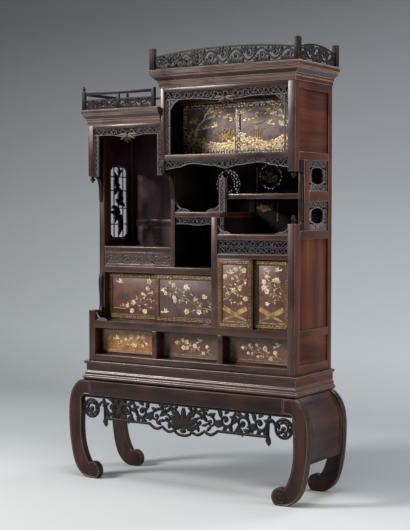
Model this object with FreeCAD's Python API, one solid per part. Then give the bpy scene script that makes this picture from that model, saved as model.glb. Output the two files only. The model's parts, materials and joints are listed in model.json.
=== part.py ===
import FreeCAD, Part
import math
import os

Vector = FreeCAD.Vector

# East Asian display cabinet for books and objects, in millimetres.
# While the pieces are drawn, X runs from the left side of the case, Y from its front face towards the
# back, and Z up from the floor. At the end everything is moved so that the origin lies under the middle.

# Overall sizes
WIDTH = 1200.0
DEPTH = 372.0
STEP_DEPTH = 90.0

# Heights, from the floor up
STAND_HEIGHT = 500.0
PLINTH_HEIGHT = 101.0
BASE_RAIL = 31.0
DRAWER_BAY = 137.0
SILL_RAIL = 37.0
ROW_TWO_BAY = 244.0
ROW_TWO_HEAD = 34.0
SMALL_DRAWER_BAY = 71.0
LEFT_SHELF = 29.0
LEFT_NICHE = 615.0
TALL_BAY = 332.0
TALL_HEAD = 22.0
FRIEZE_HEIGHT = 68.0
FLOOR_RAIL = 27.0
FLOOR_STEP = 105.0
RIGHT_NICHE = 357.0
RIGHT_SHELF_RISE = 193.0
UPPER_BOX = 325.0
RIGHT_CORNICE = 87.0
LEFT_CORNICE = 77.0

# Posts, boards and panels
POST = 38.0
POST_DEEP = 50.0
SLIM_POST = 32.0
SLIM_DEEP = 52.0
REAR_POST = 37.0
PARTITION = 24.0
LEFT_PARTITION_X = 448.0
MIDDLE_POST_X = 744.0
MIDDLE_POST = 32.0
BOARD = 18.0
SIDE_RAIL = 24.0
SIDE_PANEL = 8.0
BACK_FRAME = 18.0
BACK_PANEL = 6.0
RAIL_DEEP = 32.0
RUN = 0.3
SIDE_RUN = 0.7
OVERRUN = 60.0

# Heights that follow
CASE_LOW = STAND_HEIGHT + PLINTH_HEIGHT
BASE_TOP = CASE_LOW + BASE_RAIL
DRAWER_TOP = BASE_TOP + DRAWER_BAY
SILL_TOP = DRAWER_TOP + SILL_RAIL
ROW_TWO_TOP = SILL_TOP + ROW_TWO_BAY
HEAD_TOP = ROW_TWO_TOP + ROW_TWO_HEAD
SHELF_LOW = HEAD_TOP + SMALL_DRAWER_BAY
SHELF_TOP = SHELF_LOW + LEFT_SHELF
LEFT_TOP = SHELF_TOP + LEFT_NICHE
TALL_TOP = SILL_TOP + TALL_BAY
FRIEZE_LOW = TALL_TOP + TALL_HEAD
FRIEZE_TOP = FRIEZE_LOW + FRIEZE_HEIGHT
RIGHT_FLOOR = FRIEZE_TOP + FLOOR_RAIL
MIDDLE_FLOOR = RIGHT_FLOOR + FLOOR_STEP
UPPER_LOW = RIGHT_FLOOR + RIGHT_NICHE
UPPER_FLOOR = UPPER_LOW + FLOOR_RAIL
RIGHT_SHELF = RIGHT_FLOOR + RIGHT_SHELF_RISE
UPPER_TOP = UPPER_FLOOR + UPPER_BOX
RIGHT_CORNICE_TOP = UPPER_TOP + RIGHT_CORNICE
LEFT_CORNICE_TOP = LEFT_TOP + LEFT_CORNICE

# Places that follow
BOARD_BACK = DEPTH - BACK_FRAME
REAR_POST_Y = DEPTH - REAR_POST
SLIM_BACK = STEP_DEPTH + SLIM_DEEP
LEFT_PARTITION_END = LEFT_PARTITION_X + PARTITION
MIDDLE_POST_END = MIDDLE_POST_X + MIDDLE_POST
MIDDLE_BOARD_X = MIDDLE_POST_X + (MIDDLE_POST - PARTITION) / 2
MIDDLE_BOARD_END = MIDDLE_BOARD_X + PARTITION
INNER_LEFT = SIDE_RAIL
INNER_RIGHT = WIDTH - SIDE_RAIL
RIGHT_POST_X = WIDTH - POST
RIGHT_SLIM_X = WIDTH - SLIM_POST


def box(x0, x1, y0, y1, z0, z1):
    """Board between two planes each way."""
    return Part.makeBox(x1 - x0, y1 - y0, z1 - z0, Vector(x0, y0, z0))


def seen_from_front(y):
    """Places an outline's points in the upright plane at this depth."""
    return lambda point: Vector(point[0], y, point[1])


def seen_from_side(x):
    """Places an outline's points, given as depth and height, in the upright plane at this X."""
    return lambda point: Vector(x, point[0], point[1])


def outline(place, start, *steps):
    """Closed wire. A step is a point, an arc (middle, end), or a curve through a list of points."""
    edges = []
    here = start
    for step in steps + (start,):
        if isinstance(step, list):
            curve = Part.BSplineCurve()
            curve.interpolate([place(point) for point in [here] + step])
            edges.append(curve.toShape())
            here = step[-1]
        elif isinstance(step[0], tuple):
            edges.append(Part.Arc(place(here), place(step[0]), place(step[1])).toShape())
            here = step[1]
        elif step != here:
            edges.append(Part.makeLine(place(here), place(step)))
            here = step
    return Part.Wire(edges)


def plate(wires, reach):
    """Extrudes the first wire, less the others, along the vector reach."""
    return Part.makeFace(wires, "Part::FaceMakerBullseye").extrude(reach)


def front_plate(y0, y1, shape, holes=()):
    """Plate between two depths; shape and holes are (start, steps) outlines seen from the front."""
    place = seen_from_front(y0)
    wires = [outline(place, *shape)] + [outline(place, *hole) for hole in holes]
    return plate(wires, Vector(0, y1 - y0, 0))


def side_plate(x0, x1, shape, holes=()):
    """Plate between two X planes; shape and holes are outlines seen from the side."""
    place = seen_from_side(x0)
    wires = [outline(place, *shape)] + [outline(place, *hole) for hole in holes]
    return plate(wires, Vector(x1 - x0, 0, 0))


def rectangle(a0, a1, z0, z1):
    return ((a0, z0), (a1, z0), (a1, z1), (a0, z1))


def turned(x, y, z, profile):
    """Turned piece about an upright axis; profile is (radius, height) pairs from the bottom up."""
    points = [Vector(0, 0, profile[0][1])]
    points += [Vector(radius, 0, height) for radius, height in profile]
    points.append(Vector(0, 0, profile[-1][1]))
    face = Part.Face(Part.makePolygon(points + [points[0]]))
    body = face.revolve(Vector(0, 0, 0), Vector(0, 0, 1), 360)
    body.translate(Vector(x, y, z))
    return body


def group(*pieces):
    """Separate solids that share one node."""
    return Part.makeCompound([solid for piece in pieces for solid in piece.Solids])


def moved(shape, x, y, z):
    copy = shape.copy()
    copy.translate(Vector(x, y, z))
    return copy


def mirrored(shape):
    """The same piece on the other half of the stand."""
    return shape.mirror(Vector(WIDTH / 2, 0, 0), Vector(1, 0, 0))


# Pierced work
# A leaf is a hole with two tips and three chisel cuts a side. A vine is a row of leaves that lean
# alternately.
LEAF_LONG_SHARE = 0.9
LEAF_WIDE_SHARE = 0.27
LEAF_LEAN = 34.0
LEAN_SHARE = 0.65
CUT_SHARE = 0.25


def leaf(a, z, long, wide, turn):
    """Leaf-shaped hole about (a, z), its length turned from the level by turn degrees."""
    along = (math.cos(math.radians(turn)), math.sin(math.radians(turn)))
    across = (-along[1], along[0])

    def at(u, v):
        return (a + u * along[0] + v * across[0], z + u * along[1] + v * across[1])

    cut = CUT_SHARE * long
    return (at(-long / 2, 0), at(-cut, wide / 2), at(cut, wide / 2), at(long / 2, 0),
            at(cut, -wide / 2), at(-cut, -wide / 2))


def c_slot(a, z, outer, inner, first, sweep):
    """Slot along an arc, between two radii about (a, z), from the angle first through sweep degrees."""
    def at(radius, degrees):
        angle = math.radians(degrees)
        return (a + radius * math.cos(angle), z + radius * math.sin(angle))

    middle, last = first + sweep / 2, first + sweep
    return (at(outer, first), (at(outer, middle), at(outer, last)), at(inner, last),
            (at(inner, middle), at(inner, first)))


def vine(a0, a1, low, high, pitch):
    """Leaf holes along a band from a0 to a1; low and high give the band's edges at a place."""
    count = max(2, round((a1 - a0) / pitch))
    step = (a1 - a0) / count
    holes = []
    for index in range(count):
        a = a0 + step * (index + 1 / 2)
        bottom, top = low(a), high(a)
        middle, tall = (bottom + top) / 2, top - bottom
        side = 1 if index % 2 else -1
        lean = side * LEAN_SHARE * math.degrees(math.atan2(tall, step))
        long = LEAF_LONG_SHARE * step
        holes.append(leaf(a, middle, long, LEAF_WIDE_SHARE * min(long, 2 * tall), lean))
    return holes


def level(height):
    return lambda place: height


# Stand
LEG_FLARE = 97.0
LEG_WIDTH = 82.0
LEG_DEEP = 36.0
STAND_FRONT = 45.0
STAND_REAR_INSET = 20.0
SHOULDER = 28.0
LEG_BLOCK = 40.0
APRON_HEIGHT = 74.0
INNER_CORNER = 20.0
FOOT_RADIUS = 45.0
FOOT_CENTRE = 52.0
FOOT_FLAT = 40.0
OUTER_SHARES = ((0.74, 0.91), (1.0, 0.64), (0.83, 0.29), (0.49, 0.10), (0.10, 0.025))
SIDE_OUT_SHARE = 0.93
SIDE_BOW_SHARE = 0.02
SIDE_SHOULDER_SHARES = (0.79, 0.88)
INNER_SHARES = ((-0.02, 0.275), (0.155, 0.42), (0.175, 0.64), (0.16, 0.78))
FOOT_TOP_TURN = 118.0
SIDE_BOARD = 20.0
SIDE_INSET = 6.0
SIDE_LOW = 200.0
FIELD_SINK = 4.0
FIELD_MARGIN = 24.0
STAND_BOARD = 18.0

STAND_Y = -STAND_FRONT
STAND_BACK = DEPTH - STAND_REAR_INSET
LEG_INNER_Y = STAND_Y + LEG_DEEP
REAR_LEG_Y = STAND_BACK - LEG_DEEP
APRON_LOW = STAND_HEIGHT - APRON_HEIGHT


def flare(shares, inset=0):
    """Points down the outside of a left leg, pushed in by inset."""
    return [(inset - LEG_FLARE * out, STAND_HEIGHT * up) for out, up in shares]


def leg(y0, y1):
    """Left leg, seen from the front: shoulder, flared outside, scroll foot and hollow inside."""
    foot_z = math.sqrt(FOOT_RADIUS ** 2 - (FOOT_FLAT / 2) ** 2)
    turn = math.radians(FOOT_TOP_TURN)
    curl = (FOOT_CENTRE + FOOT_RADIUS * math.cos(turn), foot_z + FOOT_RADIUS * math.sin(turn))
    heel = (FOOT_CENTRE - FOOT_FLAT / 2, 0)
    outside = flare(OUTER_SHARES)
    run, rise = heel[0] - outside[-1][0], outside[-1][1]
    sole_radius = (run ** 2 + rise ** 2) / (2 * rise)
    half_turn = math.asin(run / sole_radius) / 2
    sole = (heel[0] - sole_radius * math.sin(half_turn), sole_radius * (1 - math.cos(half_turn)))
    toe = (FOOT_CENTRE + FOOT_FLAT / 2, 0)
    inside = [(-LEG_FLARE * inward, STAND_HEIGHT * up) for inward, up in INNER_SHARES]
    corner_start = inside[-1]
    corner_end = (corner_start[0] + INNER_CORNER, APRON_LOW)
    corner_middle = (corner_start[0] + INNER_CORNER / 4, (corner_start[1] + 3 * APRON_LOW) / 4)
    shape = ((-SHOULDER, STAND_HEIGHT), outside, (sole, heel), toe,
             ((FOOT_CENTRE + FOOT_RADIUS, foot_z), curl), inside,
             (corner_middle, corner_end), (LEG_BLOCK, APRON_LOW), (LEG_BLOCK, STAND_HEIGHT))
    return front_plate(y0, y1, shape)


def curved_band(inset, thick, z_low_share, y0, y1):
    """Board bent like the legs' outside, from the stand's top down to a share of its height."""
    widest = OUTER_SHARES[1]
    lower = ((1 + SIDE_OUT_SHARE) / 2 + SIDE_BOW_SHARE, (widest[1] + z_low_share) / 2)
    upper = [(SHOULDER / LEG_FLARE, 1.0), SIDE_SHOULDER_SHARES, widest, lower, (SIDE_OUT_SHARE, z_low_share)]
    top, bend, wide, hollow, end = flare(upper, inset)
    inside = flare(upper, inset + thick)
    return front_plate(y0, y1, (top, (bend, wide), (hollow, end), inside[4], (inside[3], inside[2]),
                                (inside[1], inside[0])))


stand_leg_front = leg(STAND_Y, LEG_INNER_Y)
stand_leg_rear = leg(REAR_LEG_Y, STAND_BACK)
stand_front_legs = group(stand_leg_front, mirrored(stand_leg_front))
stand_rear_legs = group(stand_leg_rear, mirrored(stand_leg_rear))

low_share = SIDE_LOW / STAND_HEIGHT
side_board = curved_band(SIDE_INSET, SIDE_BOARD, low_share, LEG_INNER_Y, REAR_LEG_Y)
field_y0 = LEG_INNER_Y + FIELD_MARGIN
field_y1 = REAR_LEG_Y - FIELD_MARGIN
field = curved_band(0, SIDE_INSET + FIELD_SINK, 0, field_y0, field_y1)
window = box(-WIDTH, WIDTH, field_y0, field_y1, SIDE_LOW + FIELD_MARGIN, STAND_HEIGHT - FIELD_MARGIN)
side_board = side_board.cut(field.common(window))
stand_side_panel = mirrored(side_board)

stand_aprons = group(
    box(LEG_BLOCK, WIDTH - LEG_BLOCK, STAND_Y, LEG_INNER_Y, APRON_LOW, STAND_HEIGHT),
    box(LEG_BLOCK, WIDTH - LEG_BLOCK, REAR_LEG_Y, STAND_BACK, APRON_LOW, STAND_HEIGHT))

board_end = SIDE_INSET + SIDE_BOARD - SHOULDER
stand_top_board = box(board_end, WIDTH - board_end, LEG_INNER_Y, REAR_LEG_Y,
                      STAND_HEIGHT - STAND_BOARD, STAND_HEIGHT)

# Openwork apron of the stand: a lobed board pierced between scrolls, with a lotus in the middle
LACE_BACK = 10.0
LACE_THICK = 14.0
LACE_RIM = 9.0
ROUNDEL_RADIUS = 56.0
ROUNDEL_DROP = 68.0
NOTCH_WIDTH = 26.0
NOTCH_RISE = 36.0
LACE_DROP = 120.0
LOBE_STEP = 17.0
LOBE_WIDTH = 75.0
LOTUS_DROP = 160.0
LOTUS_WIDTH = 96.0
SCROLL_PITCH = 96.0
SCROLL_GAP = 6.0
HALF_TURN = 180.0
SCROLL_OUTER_SHARE = 0.40
SCROLL_INNER_SHARE = 0.24
SCROLL_EYE_SHARE = 0.10
SCROLL_OPEN = 215.0
SCROLL_TURN = 100.0
ROUNDEL_TURN = 60.0
LOTUS_PETALS = 5
PETAL_FAN = 28.0
PETAL_NEAR_SHARE = 0.16
PETAL_LONG_SHARE = 0.50
PETAL_WIDE_SHARE = 0.2

lace_left = -LEG_FLARE * INNER_SHARES[2][0]
lace_right = WIDTH - lace_left
middle_x = WIDTH / 2
roundel_x = lace_left + ROUNDEL_RADIUS
roundel_z = APRON_LOW - ROUNDEL_DROP
notch_x = roundel_x + ROUNDEL_RADIUS
band_x = notch_x + NOTCH_WIDTH
lobe_x = middle_x - LOTUS_WIDTH / 2 - 2 * LOBE_WIDTH
band_low = APRON_LOW - LACE_DROP


def lace_steps():
    """Lower edge from the left end to the middle, as steps of the outline."""
    return [(lace_left, roundel_z),
            ((roundel_x, roundel_z - ROUNDEL_RADIUS), (notch_x, roundel_z)),
            (notch_x, roundel_z + NOTCH_RISE), (band_x, band_low), (lobe_x, band_low),
            ((lobe_x + LOBE_WIDTH / 2, band_low - LOBE_STEP),
             (lobe_x + LOBE_WIDTH, band_low - LOBE_STEP / 2)),
            ((lobe_x + 3 * LOBE_WIDTH / 2, band_low - 2 * LOBE_STEP),
             (lobe_x + 2 * LOBE_WIDTH, band_low - LOBE_STEP))]


def flipped(step):
    """A point, or an arc's two points, on the other half."""
    if isinstance(step[0], tuple):
        return tuple(flipped(point) for point in step)
    return (WIDTH - step[0], step[1])


def lace_right_steps():
    """The right half of the lower edge, read back from the left half."""
    points = [(lace_left, APRON_LOW)]
    steps = lace_steps()
    for step in steps:
        points.append(step[1] if isinstance(step[0], tuple) else step)
    back = []
    for index in range(len(steps) - 1, -1, -1):
        end = flipped(points[index])
        step = steps[index]
        back.append((flipped(step[0]), end) if isinstance(step[0], tuple) else end)
    return back


def lace_holes():
    """Slots of the scrolls and leaves, on both halves, and the lotus."""
    span = lobe_x - band_x
    count = max(1, round(span / SCROLL_PITCH))
    pitch = span / count
    tall = LACE_DROP - 2 * LACE_RIM
    centre_z = APRON_LOW - LACE_DROP / 2
    outer = ROUNDEL_RADIUS - LACE_RIM
    inner = ROUNDEL_RADIUS - 3 * LACE_RIM
    left = [c_slot(roundel_x, roundel_z, outer, inner, ROUNDEL_TURN, SCROLL_OPEN),
            leaf(roundel_x, roundel_z, inner, inner / 2, ROUNDEL_TURN)]
    size = min(tall, (pitch - SCROLL_GAP) / (2 * SCROLL_OUTER_SHARE))
    large, small = SCROLL_OUTER_SHARE * size, SCROLL_INNER_SHARE * size
    for index in range(count):
        x = band_x + pitch * (index + 1 / 2)
        first = SCROLL_TURN if index % 2 else SCROLL_TURN - HALF_TURN
        left.append(c_slot(x, centre_z, large, small, first, SCROLL_OPEN))
        left.append(leaf(x, centre_z, small, SCROLL_EYE_SHARE * size, first))
        if index + 1 < count:
            left.append(leaf(x + pitch / 2, centre_z + tall / 3, pitch / 3, tall / 8, LEAF_LEAN))
    low, high = level(band_low), level(APRON_LOW - LACE_RIM)
    left += vine(lobe_x, lobe_x + LOBE_WIDTH, low, high, LOBE_WIDTH / 2)
    corner_x = lobe_x + 3 * LOBE_WIDTH / 2
    left.append(leaf(corner_x, APRON_LOW - 3 * LACE_RIM, LOBE_WIDTH / 2, LACE_RIM, -LEAF_LEAN))
    holes = left + [tuple(flipped(step) for step in hole) for hole in left]
    root_z = APRON_LOW - LOTUS_DROP + LACE_RIM
    long = PETAL_LONG_SHARE * LOTUS_DROP
    for index in range(LOTUS_PETALS):
        turn = 90 + PETAL_FAN * (index - (LOTUS_PETALS - 1) / 2)
        reach = PETAL_NEAR_SHARE * LOTUS_DROP + long / 2
        holes.append(leaf(middle_x + reach * math.cos(math.radians(turn)),
                          root_z + reach * math.sin(math.radians(turn)),
                          long, PETAL_WIDE_SHARE * long, turn))
    return holes


lace_y = STAND_Y + LACE_BACK
lotus_arc = ((middle_x, APRON_LOW - LOTUS_DROP), (middle_x + LOTUS_WIDTH / 2, band_low - LOBE_STEP))
lace_outline = ((lace_left, APRON_LOW), *lace_steps(), lotus_arc, *lace_right_steps())
stand_openwork_apron = front_plate(lace_y, lace_y + LACE_THICK, lace_outline, lace_holes())
stand_openwork_apron = stand_openwork_apron.cut(stand_front_legs)

# Plinth and cornices: mouldings mitred round the front and the sides, flush at the back
MOULD_WALL = 34.0
CORNICE_LID = 16.0
PLINTH_OVER = 25.0
RIGHT_OVER = 45.0
LEFT_OVER = 29.0
PLINTH_SHARES = ((0.72, 0.0), (1.0, 0.10), (1.0, 0.19), (0.62, 0.26), (0.62, 0.40), (0.40, 0.46),
                 (0.40, 0.80), (0.80, 0.86), (0.80, 0.97), (0.0, 1.0))
CORNICE_SHARES = ((0.0, 0.0), (0.12, 0.03), (0.12, 0.24), (0.22, 0.28), (0.22, 0.40), (0.42, 0.48),
                  (0.64, 0.58), (0.72, 0.62), (0.72, 0.69), (0.90, 0.74), (0.90, 0.94), (1.0, 0.96),
                  (1.0, 1.0))


def moulding(x0, x1, z0, height, over, shares, sides):
    """Block with a moulded edge: the common part of the profile drawn along each moulded side."""
    profile = [(over * out, z0 + height * up) for out, up in shares]
    far = over + OVERRUN
    last, first = profile[-1][1], profile[0][1]
    front = [(-out, z) for out, z in profile]
    block = side_plate(x0 - far, x1 + far, (front[0], *front[1:], (DEPTH, last), (DEPTH, first)))
    if "left" in sides:
        edge = [(x0 - out, z) for out, z in profile]
        shape = (edge[0], *edge[1:], (x1 + far, last), (x1 + far, first))
        block = block.common(front_plate(-far, DEPTH + far, shape))
    else:
        block = block.common(box(x0, x1 + far, -far, DEPTH, first, last))
    if "right" in sides:
        edge = [(x1 + out, z) for out, z in profile]
        shape = (edge[0], *edge[1:], (x0 - far, last), (x0 - far, first))
        return block.common(front_plate(-far, DEPTH + far, shape))
    return block.common(box(x0 - far, x1, -far, DEPTH, first, last))


def hollowed(block, x0, x1, z0, z1):
    """Clears the inside of a moulded block, leaving its walls."""
    return block.cut(box(x0 + MOULD_WALL, x1 - MOULD_WALL, MOULD_WALL, DEPTH - MOULD_WALL, z0, z1))


both_sides = ("left", "right")
plinth_moulding = moulding(0, WIDTH, STAND_HEIGHT, PLINTH_HEIGHT, PLINTH_OVER, PLINTH_SHARES, both_sides)
plinth_moulding = hollowed(plinth_moulding, 0, WIDTH, STAND_HEIGHT, CASE_LOW)

left_cornice = moulding(0, LEFT_PARTITION_X, LEFT_TOP, LEFT_CORNICE, LEFT_OVER, CORNICE_SHARES, ("left",))
left_cornice = hollowed(left_cornice, 0, LEFT_PARTITION_X, LEFT_TOP, LEFT_CORNICE_TOP - CORNICE_LID)

cornice_lid_z = RIGHT_CORNICE_TOP - CORNICE_LID
right_cornice = moulding(LEFT_PARTITION_X, WIDTH, UPPER_TOP, RIGHT_CORNICE, RIGHT_OVER, CORNICE_SHARES,
                         both_sides)
right_cornice = hollowed(right_cornice, LEFT_PARTITION_X, WIDTH, UPPER_TOP, cornice_lid_z)

# Side frames: posts and rails
LEFT_POST_RISE = 51.0
RIGHT_POST_RISE = 50.0
LEFT_BOX_DROP = 259.0
UPPER_POST_X = 38.0
UPPER_POST_Y = 40.0
UPPER_POST_DROP = 64.0
SIDE_BASE_RAIL = 42.0
SIDE_TOP_RAIL = 33.0
FLOOR_SIDE_DROP = 23.0
FLOOR_SIDE_RISE = 17.0
WINDOW_RAIL_RISE = 156.0
WINDOW_RAIL = 47.0
UPPER_SIDE_DROP = 10.0
UPPER_SIDE_RAIL = 38.0

left_post_top = SILL_TOP + LEFT_POST_RISE
right_post_top = RIGHT_FLOOR + RIGHT_POST_RISE
left_box_low = LEFT_TOP - LEFT_BOX_DROP
upper_post_low = UPPER_LOW - UPPER_POST_DROP
right_rail_low = RIGHT_FLOOR - FLOOR_SIDE_DROP
right_rail_top = RIGHT_FLOOR + FLOOR_SIDE_RISE
window_rail_low = RIGHT_FLOOR + WINDOW_RAIL_RISE
window_rail_top = window_rail_low + WINDOW_RAIL
upper_side_low = UPPER_LOW - UPPER_SIDE_DROP
upper_side_top = upper_side_low + UPPER_SIDE_RAIL

left_front_post = box(0, POST, 0, POST_DEEP, CASE_LOW, left_post_top)
left_slim_post = box(0, SLIM_POST, STEP_DEPTH, SLIM_BACK, SILL_TOP, LEFT_TOP)
left_upper_post = box(0, SLIM_POST, 0, RAIL_DEEP, left_box_low, LEFT_TOP)
left_rear_post = box(0, SLIM_POST, REAR_POST_Y, DEPTH, CASE_LOW, LEFT_TOP)
right_front_post = box(RIGHT_POST_X, WIDTH, 0, POST_DEEP, CASE_LOW, right_post_top)
right_slim_post = box(RIGHT_SLIM_X, WIDTH, STEP_DEPTH, SLIM_BACK, right_rail_top, upper_side_low)
right_upper_post = box(WIDTH - UPPER_POST_X, WIDTH, 0, UPPER_POST_Y, upper_post_low, UPPER_TOP)
right_rear_post = box(WIDTH - POST, WIDTH, REAR_POST_Y, DEPTH, CASE_LOW, UPPER_TOP)

left_rails = [
    box(0, SIDE_RAIL, POST_DEEP, REAR_POST_Y, CASE_LOW, CASE_LOW + SIDE_BASE_RAIL),
    box(0, SIDE_RAIL, POST_DEEP, REAR_POST_Y, DRAWER_TOP, SILL_TOP),
    box(0, SIDE_RAIL, SLIM_BACK, REAR_POST_Y, ROW_TWO_TOP, HEAD_TOP),
    box(0, SIDE_RAIL, SLIM_BACK, REAR_POST_Y, SHELF_LOW, SHELF_TOP),
    box(0, SIDE_RAIL, SLIM_BACK, REAR_POST_Y, LEFT_TOP - SIDE_TOP_RAIL, LEFT_TOP)]
right_rails = [
    box(INNER_RIGHT, WIDTH, POST_DEEP, REAR_POST_Y, CASE_LOW, CASE_LOW + SIDE_BASE_RAIL),
    box(INNER_RIGHT, WIDTH, POST_DEEP, REAR_POST_Y, DRAWER_TOP, SILL_TOP),
    box(INNER_RIGHT, WIDTH, POST_DEEP, REAR_POST_Y, right_rail_low, right_rail_top),
    box(INNER_RIGHT, WIDTH, SLIM_BACK, REAR_POST_Y, window_rail_low, window_rail_top),
    box(INNER_RIGHT, WIDTH, UPPER_POST_Y, REAR_POST_Y, upper_side_low, upper_side_top),
    box(INNER_RIGHT, WIDTH, UPPER_POST_Y, REAR_POST_Y, UPPER_TOP - SIDE_TOP_RAIL, UPPER_TOP)]
left_posts = [left_front_post, left_slim_post, left_upper_post, left_rear_post]
right_posts = [right_front_post, right_slim_post, right_upper_post, right_rear_post]
left_side_frame = group(*left_posts, *left_rails)
right_side_frame = group(*right_posts, *right_rails)

# Side panels, let in midway through the rails
PANEL_SINK = (SIDE_RAIL - SIDE_PANEL) / 2
left_panel_x = PANEL_SINK
right_panel_x = WIDTH - PANEL_SINK - SIDE_PANEL

# Lattice window in the left side
WINDOW_MARGIN = 19.0
WINDOW_HEIGHT = 382.0
WINDOW_LOW = 35.0
WINDOW_CUT = 20.0
WINDOW_FRAME = 9.0
LATTICE_THICK = 12.0
WINDOW_BARS = 3
BAR = 5.0
CROSS_SHARES = (0.20, 0.42, 0.66, 0.85)
KNOT_SHARES = ((0.30, 60.0), (0.54, -60.0), (0.76, 60.0))
KNOT_LONG = 70.0
KNOT_WIDE = 26.0

window_y = SLIM_BACK + WINDOW_MARGIN
window_width = REAR_POST_Y - WINDOW_MARGIN - window_y
window_z = SHELF_TOP + WINDOW_LOW


def cut_window(inset):
    """Upright opening with its corners cut off, seen from the side."""
    y0, y1 = window_y + inset, window_y + window_width - inset
    z0, z1 = window_z + inset, window_z + WINDOW_HEIGHT - inset
    return ((y0 + WINDOW_CUT, z0), (y1 - WINDOW_CUT, z0), (y1, z0 + WINDOW_CUT), (y1, z1 - WINDOW_CUT),
            (y1 - WINDOW_CUT, z1), (y0 + WINDOW_CUT, z1), (y0, z1 - WINDOW_CUT), (y0, z0 + WINDOW_CUT))


def window_lattice():
    """Ring, upright bars, cross bars and three leaf knots, all in one pierced piece."""
    x0 = left_panel_x - (LATTICE_THICK - SIDE_PANEL) / 2
    x1 = x0 + LATTICE_THICK
    ring = side_plate(x0, x1, cut_window(0), [cut_window(WINDOW_FRAME)])
    inside = side_plate(x0, x1, cut_window(WINDOW_FRAME))
    bars = []
    half = BAR / 2
    for index in range(WINDOW_BARS):
        y = window_y + window_width * (index + 1) / (WINDOW_BARS + 1)
        bars.append(box(x0 + half, x1 - half, y - half, y + half, window_z, window_z + WINDOW_HEIGHT))
    for share in CROSS_SHARES:
        z = window_z + share * WINDOW_HEIGHT
        bars.append(box(x0 + half, x1 - half, window_y, window_y + window_width, z - half, z + half))
    for share, turn in KNOT_SHARES:
        place = window_y + window_width / 2, window_z + share * WINDOW_HEIGHT
        bars.append(side_plate(x0, x1, leaf(*place, KNOT_LONG, KNOT_WIDE, turn)))
    grid = bars[0].fuse(bars[1:]).common(inside)
    return ring.fuse(grid).removeSplitter()


left_window_lattice = window_lattice()
window_top = LEFT_TOP - SIDE_TOP_RAIL
left_panel_end = left_panel_x + SIDE_PANEL
right_panel_end = right_panel_x + SIDE_PANEL
side_base_top = CASE_LOW + SIDE_BASE_RAIL
left_side_panels = group(
    box(left_panel_x, left_panel_end, POST_DEEP, REAR_POST_Y, side_base_top, DRAWER_TOP),
    box(left_panel_x, left_panel_end, SLIM_BACK, REAR_POST_Y, SILL_TOP, ROW_TWO_TOP),
    box(left_panel_x, left_panel_end, SLIM_BACK, REAR_POST_Y, HEAD_TOP, SHELF_LOW),
    side_plate(left_panel_x, left_panel_end, rectangle(SLIM_BACK, REAR_POST_Y, SHELF_TOP, window_top),
               [cut_window(0)]))
right_side_panels = group(
    box(right_panel_x, right_panel_end, POST_DEEP, REAR_POST_Y, side_base_top, DRAWER_TOP),
    box(right_panel_x, right_panel_end, POST_DEEP, REAR_POST_Y, SILL_TOP, right_rail_low),
    box(right_panel_x, right_panel_end, UPPER_POST_Y, REAR_POST_Y, upper_side_top,
        UPPER_TOP - SIDE_TOP_RAIL))

# Openwork panels of the right side: carved borders round a bracket-shaped opening
SIDE_LACE = 10.0
VOID_MARGIN = 42.0
VOID_POINT = 12.0
BORDER_PITCH = 58.0


def side_lace(y0, y1, z0, z1):
    """Border pierced on all four sides; the opening's ends bow outwards in the middle."""
    x0 = WIDTH - (SIDE_RAIL + SIDE_LACE) / 2
    a0, a1, b0, b1 = y0 + VOID_MARGIN, y1 - VOID_MARGIN, z0 + VOID_MARGIN, z1 - VOID_MARGIN
    mid_y, mid_z = (y0 + y1) / 2, (z0 + z1) / 2
    void = ((a0, b0), ((mid_y, b0 - VOID_POINT), (a1, b0)), ((a1 + VOID_POINT, mid_z), (a1, b1)),
            ((mid_y, b1 + VOID_POINT), (a0, b1)), ((a0 - VOID_POINT, mid_z), (a0, b0)))
    rim = LACE_RIM
    holes = [void]
    holes += vine(y0 + rim, y1 - rim, level(z0 + rim), level(b0 - VOID_POINT - rim / 2), BORDER_PITCH)
    holes += vine(y0 + rim, y1 - rim, level(b1 + VOID_POINT + rim / 2), level(z1 - rim), BORDER_PITCH)
    return side_plate(x0, x0 + SIDE_LACE, rectangle(y0, y1, z0, z1), holes)


right_side_openwork = group(
    side_lace(SLIM_BACK, REAR_POST_Y, right_rail_top, window_rail_low),
    side_lace(SLIM_BACK, REAR_POST_Y, window_rail_top, upper_side_low))

# Boards and partitions
GROOVE = 7.0
GROOVE_DEEP = 5.0
HEAD_GROOVE_DEEP = 8.0
TONGUE = 6.0
DOOR = 14.0
DOOR_GAP = 4.0
DOOR_REVEAL = 12.0
TALL_REVEAL = 2.0
HEAD_DEEP = 62.0
DIVIDER = 28.0
GUIDE_HEIGHT = 24.0
UPPER_DOOR_BACK = 145.0
HEAD_FASCIA = 14.0
UPPER_HEAD = 21.0
UPPER_DOOR_HEIGHT = 255.0

all_posts = left_posts + right_posts


def notched(board):
    """Board cut round every post that it meets."""
    return board.cut(all_posts)


def tracks(first_face):
    """Middles of the front and rear door tracks behind the face of the front door."""
    front = first_face + DOOR / 2
    return front, front + DOOR + DOOR_GAP


def grooved(board, x0, x1, first_face, z, depth):
    """Cuts the two door grooves at height z, downwards for a negative depth."""
    for middle in tracks(first_face):
        low, high = min(z, z + depth), max(z, z + depth)
        board = board.cut(box(x0, x1, middle - GROOVE / 2, middle + GROOVE / 2, low, high))
    return board


bottom_board = group(
    box(POST, RIGHT_POST_X, 0, RAIL_DEEP, CASE_LOW, BASE_TOP),
    notched(box(INNER_LEFT, INNER_RIGHT, RAIL_DEEP, BOARD_BACK, BASE_TOP - BOARD, BASE_TOP)))

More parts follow.
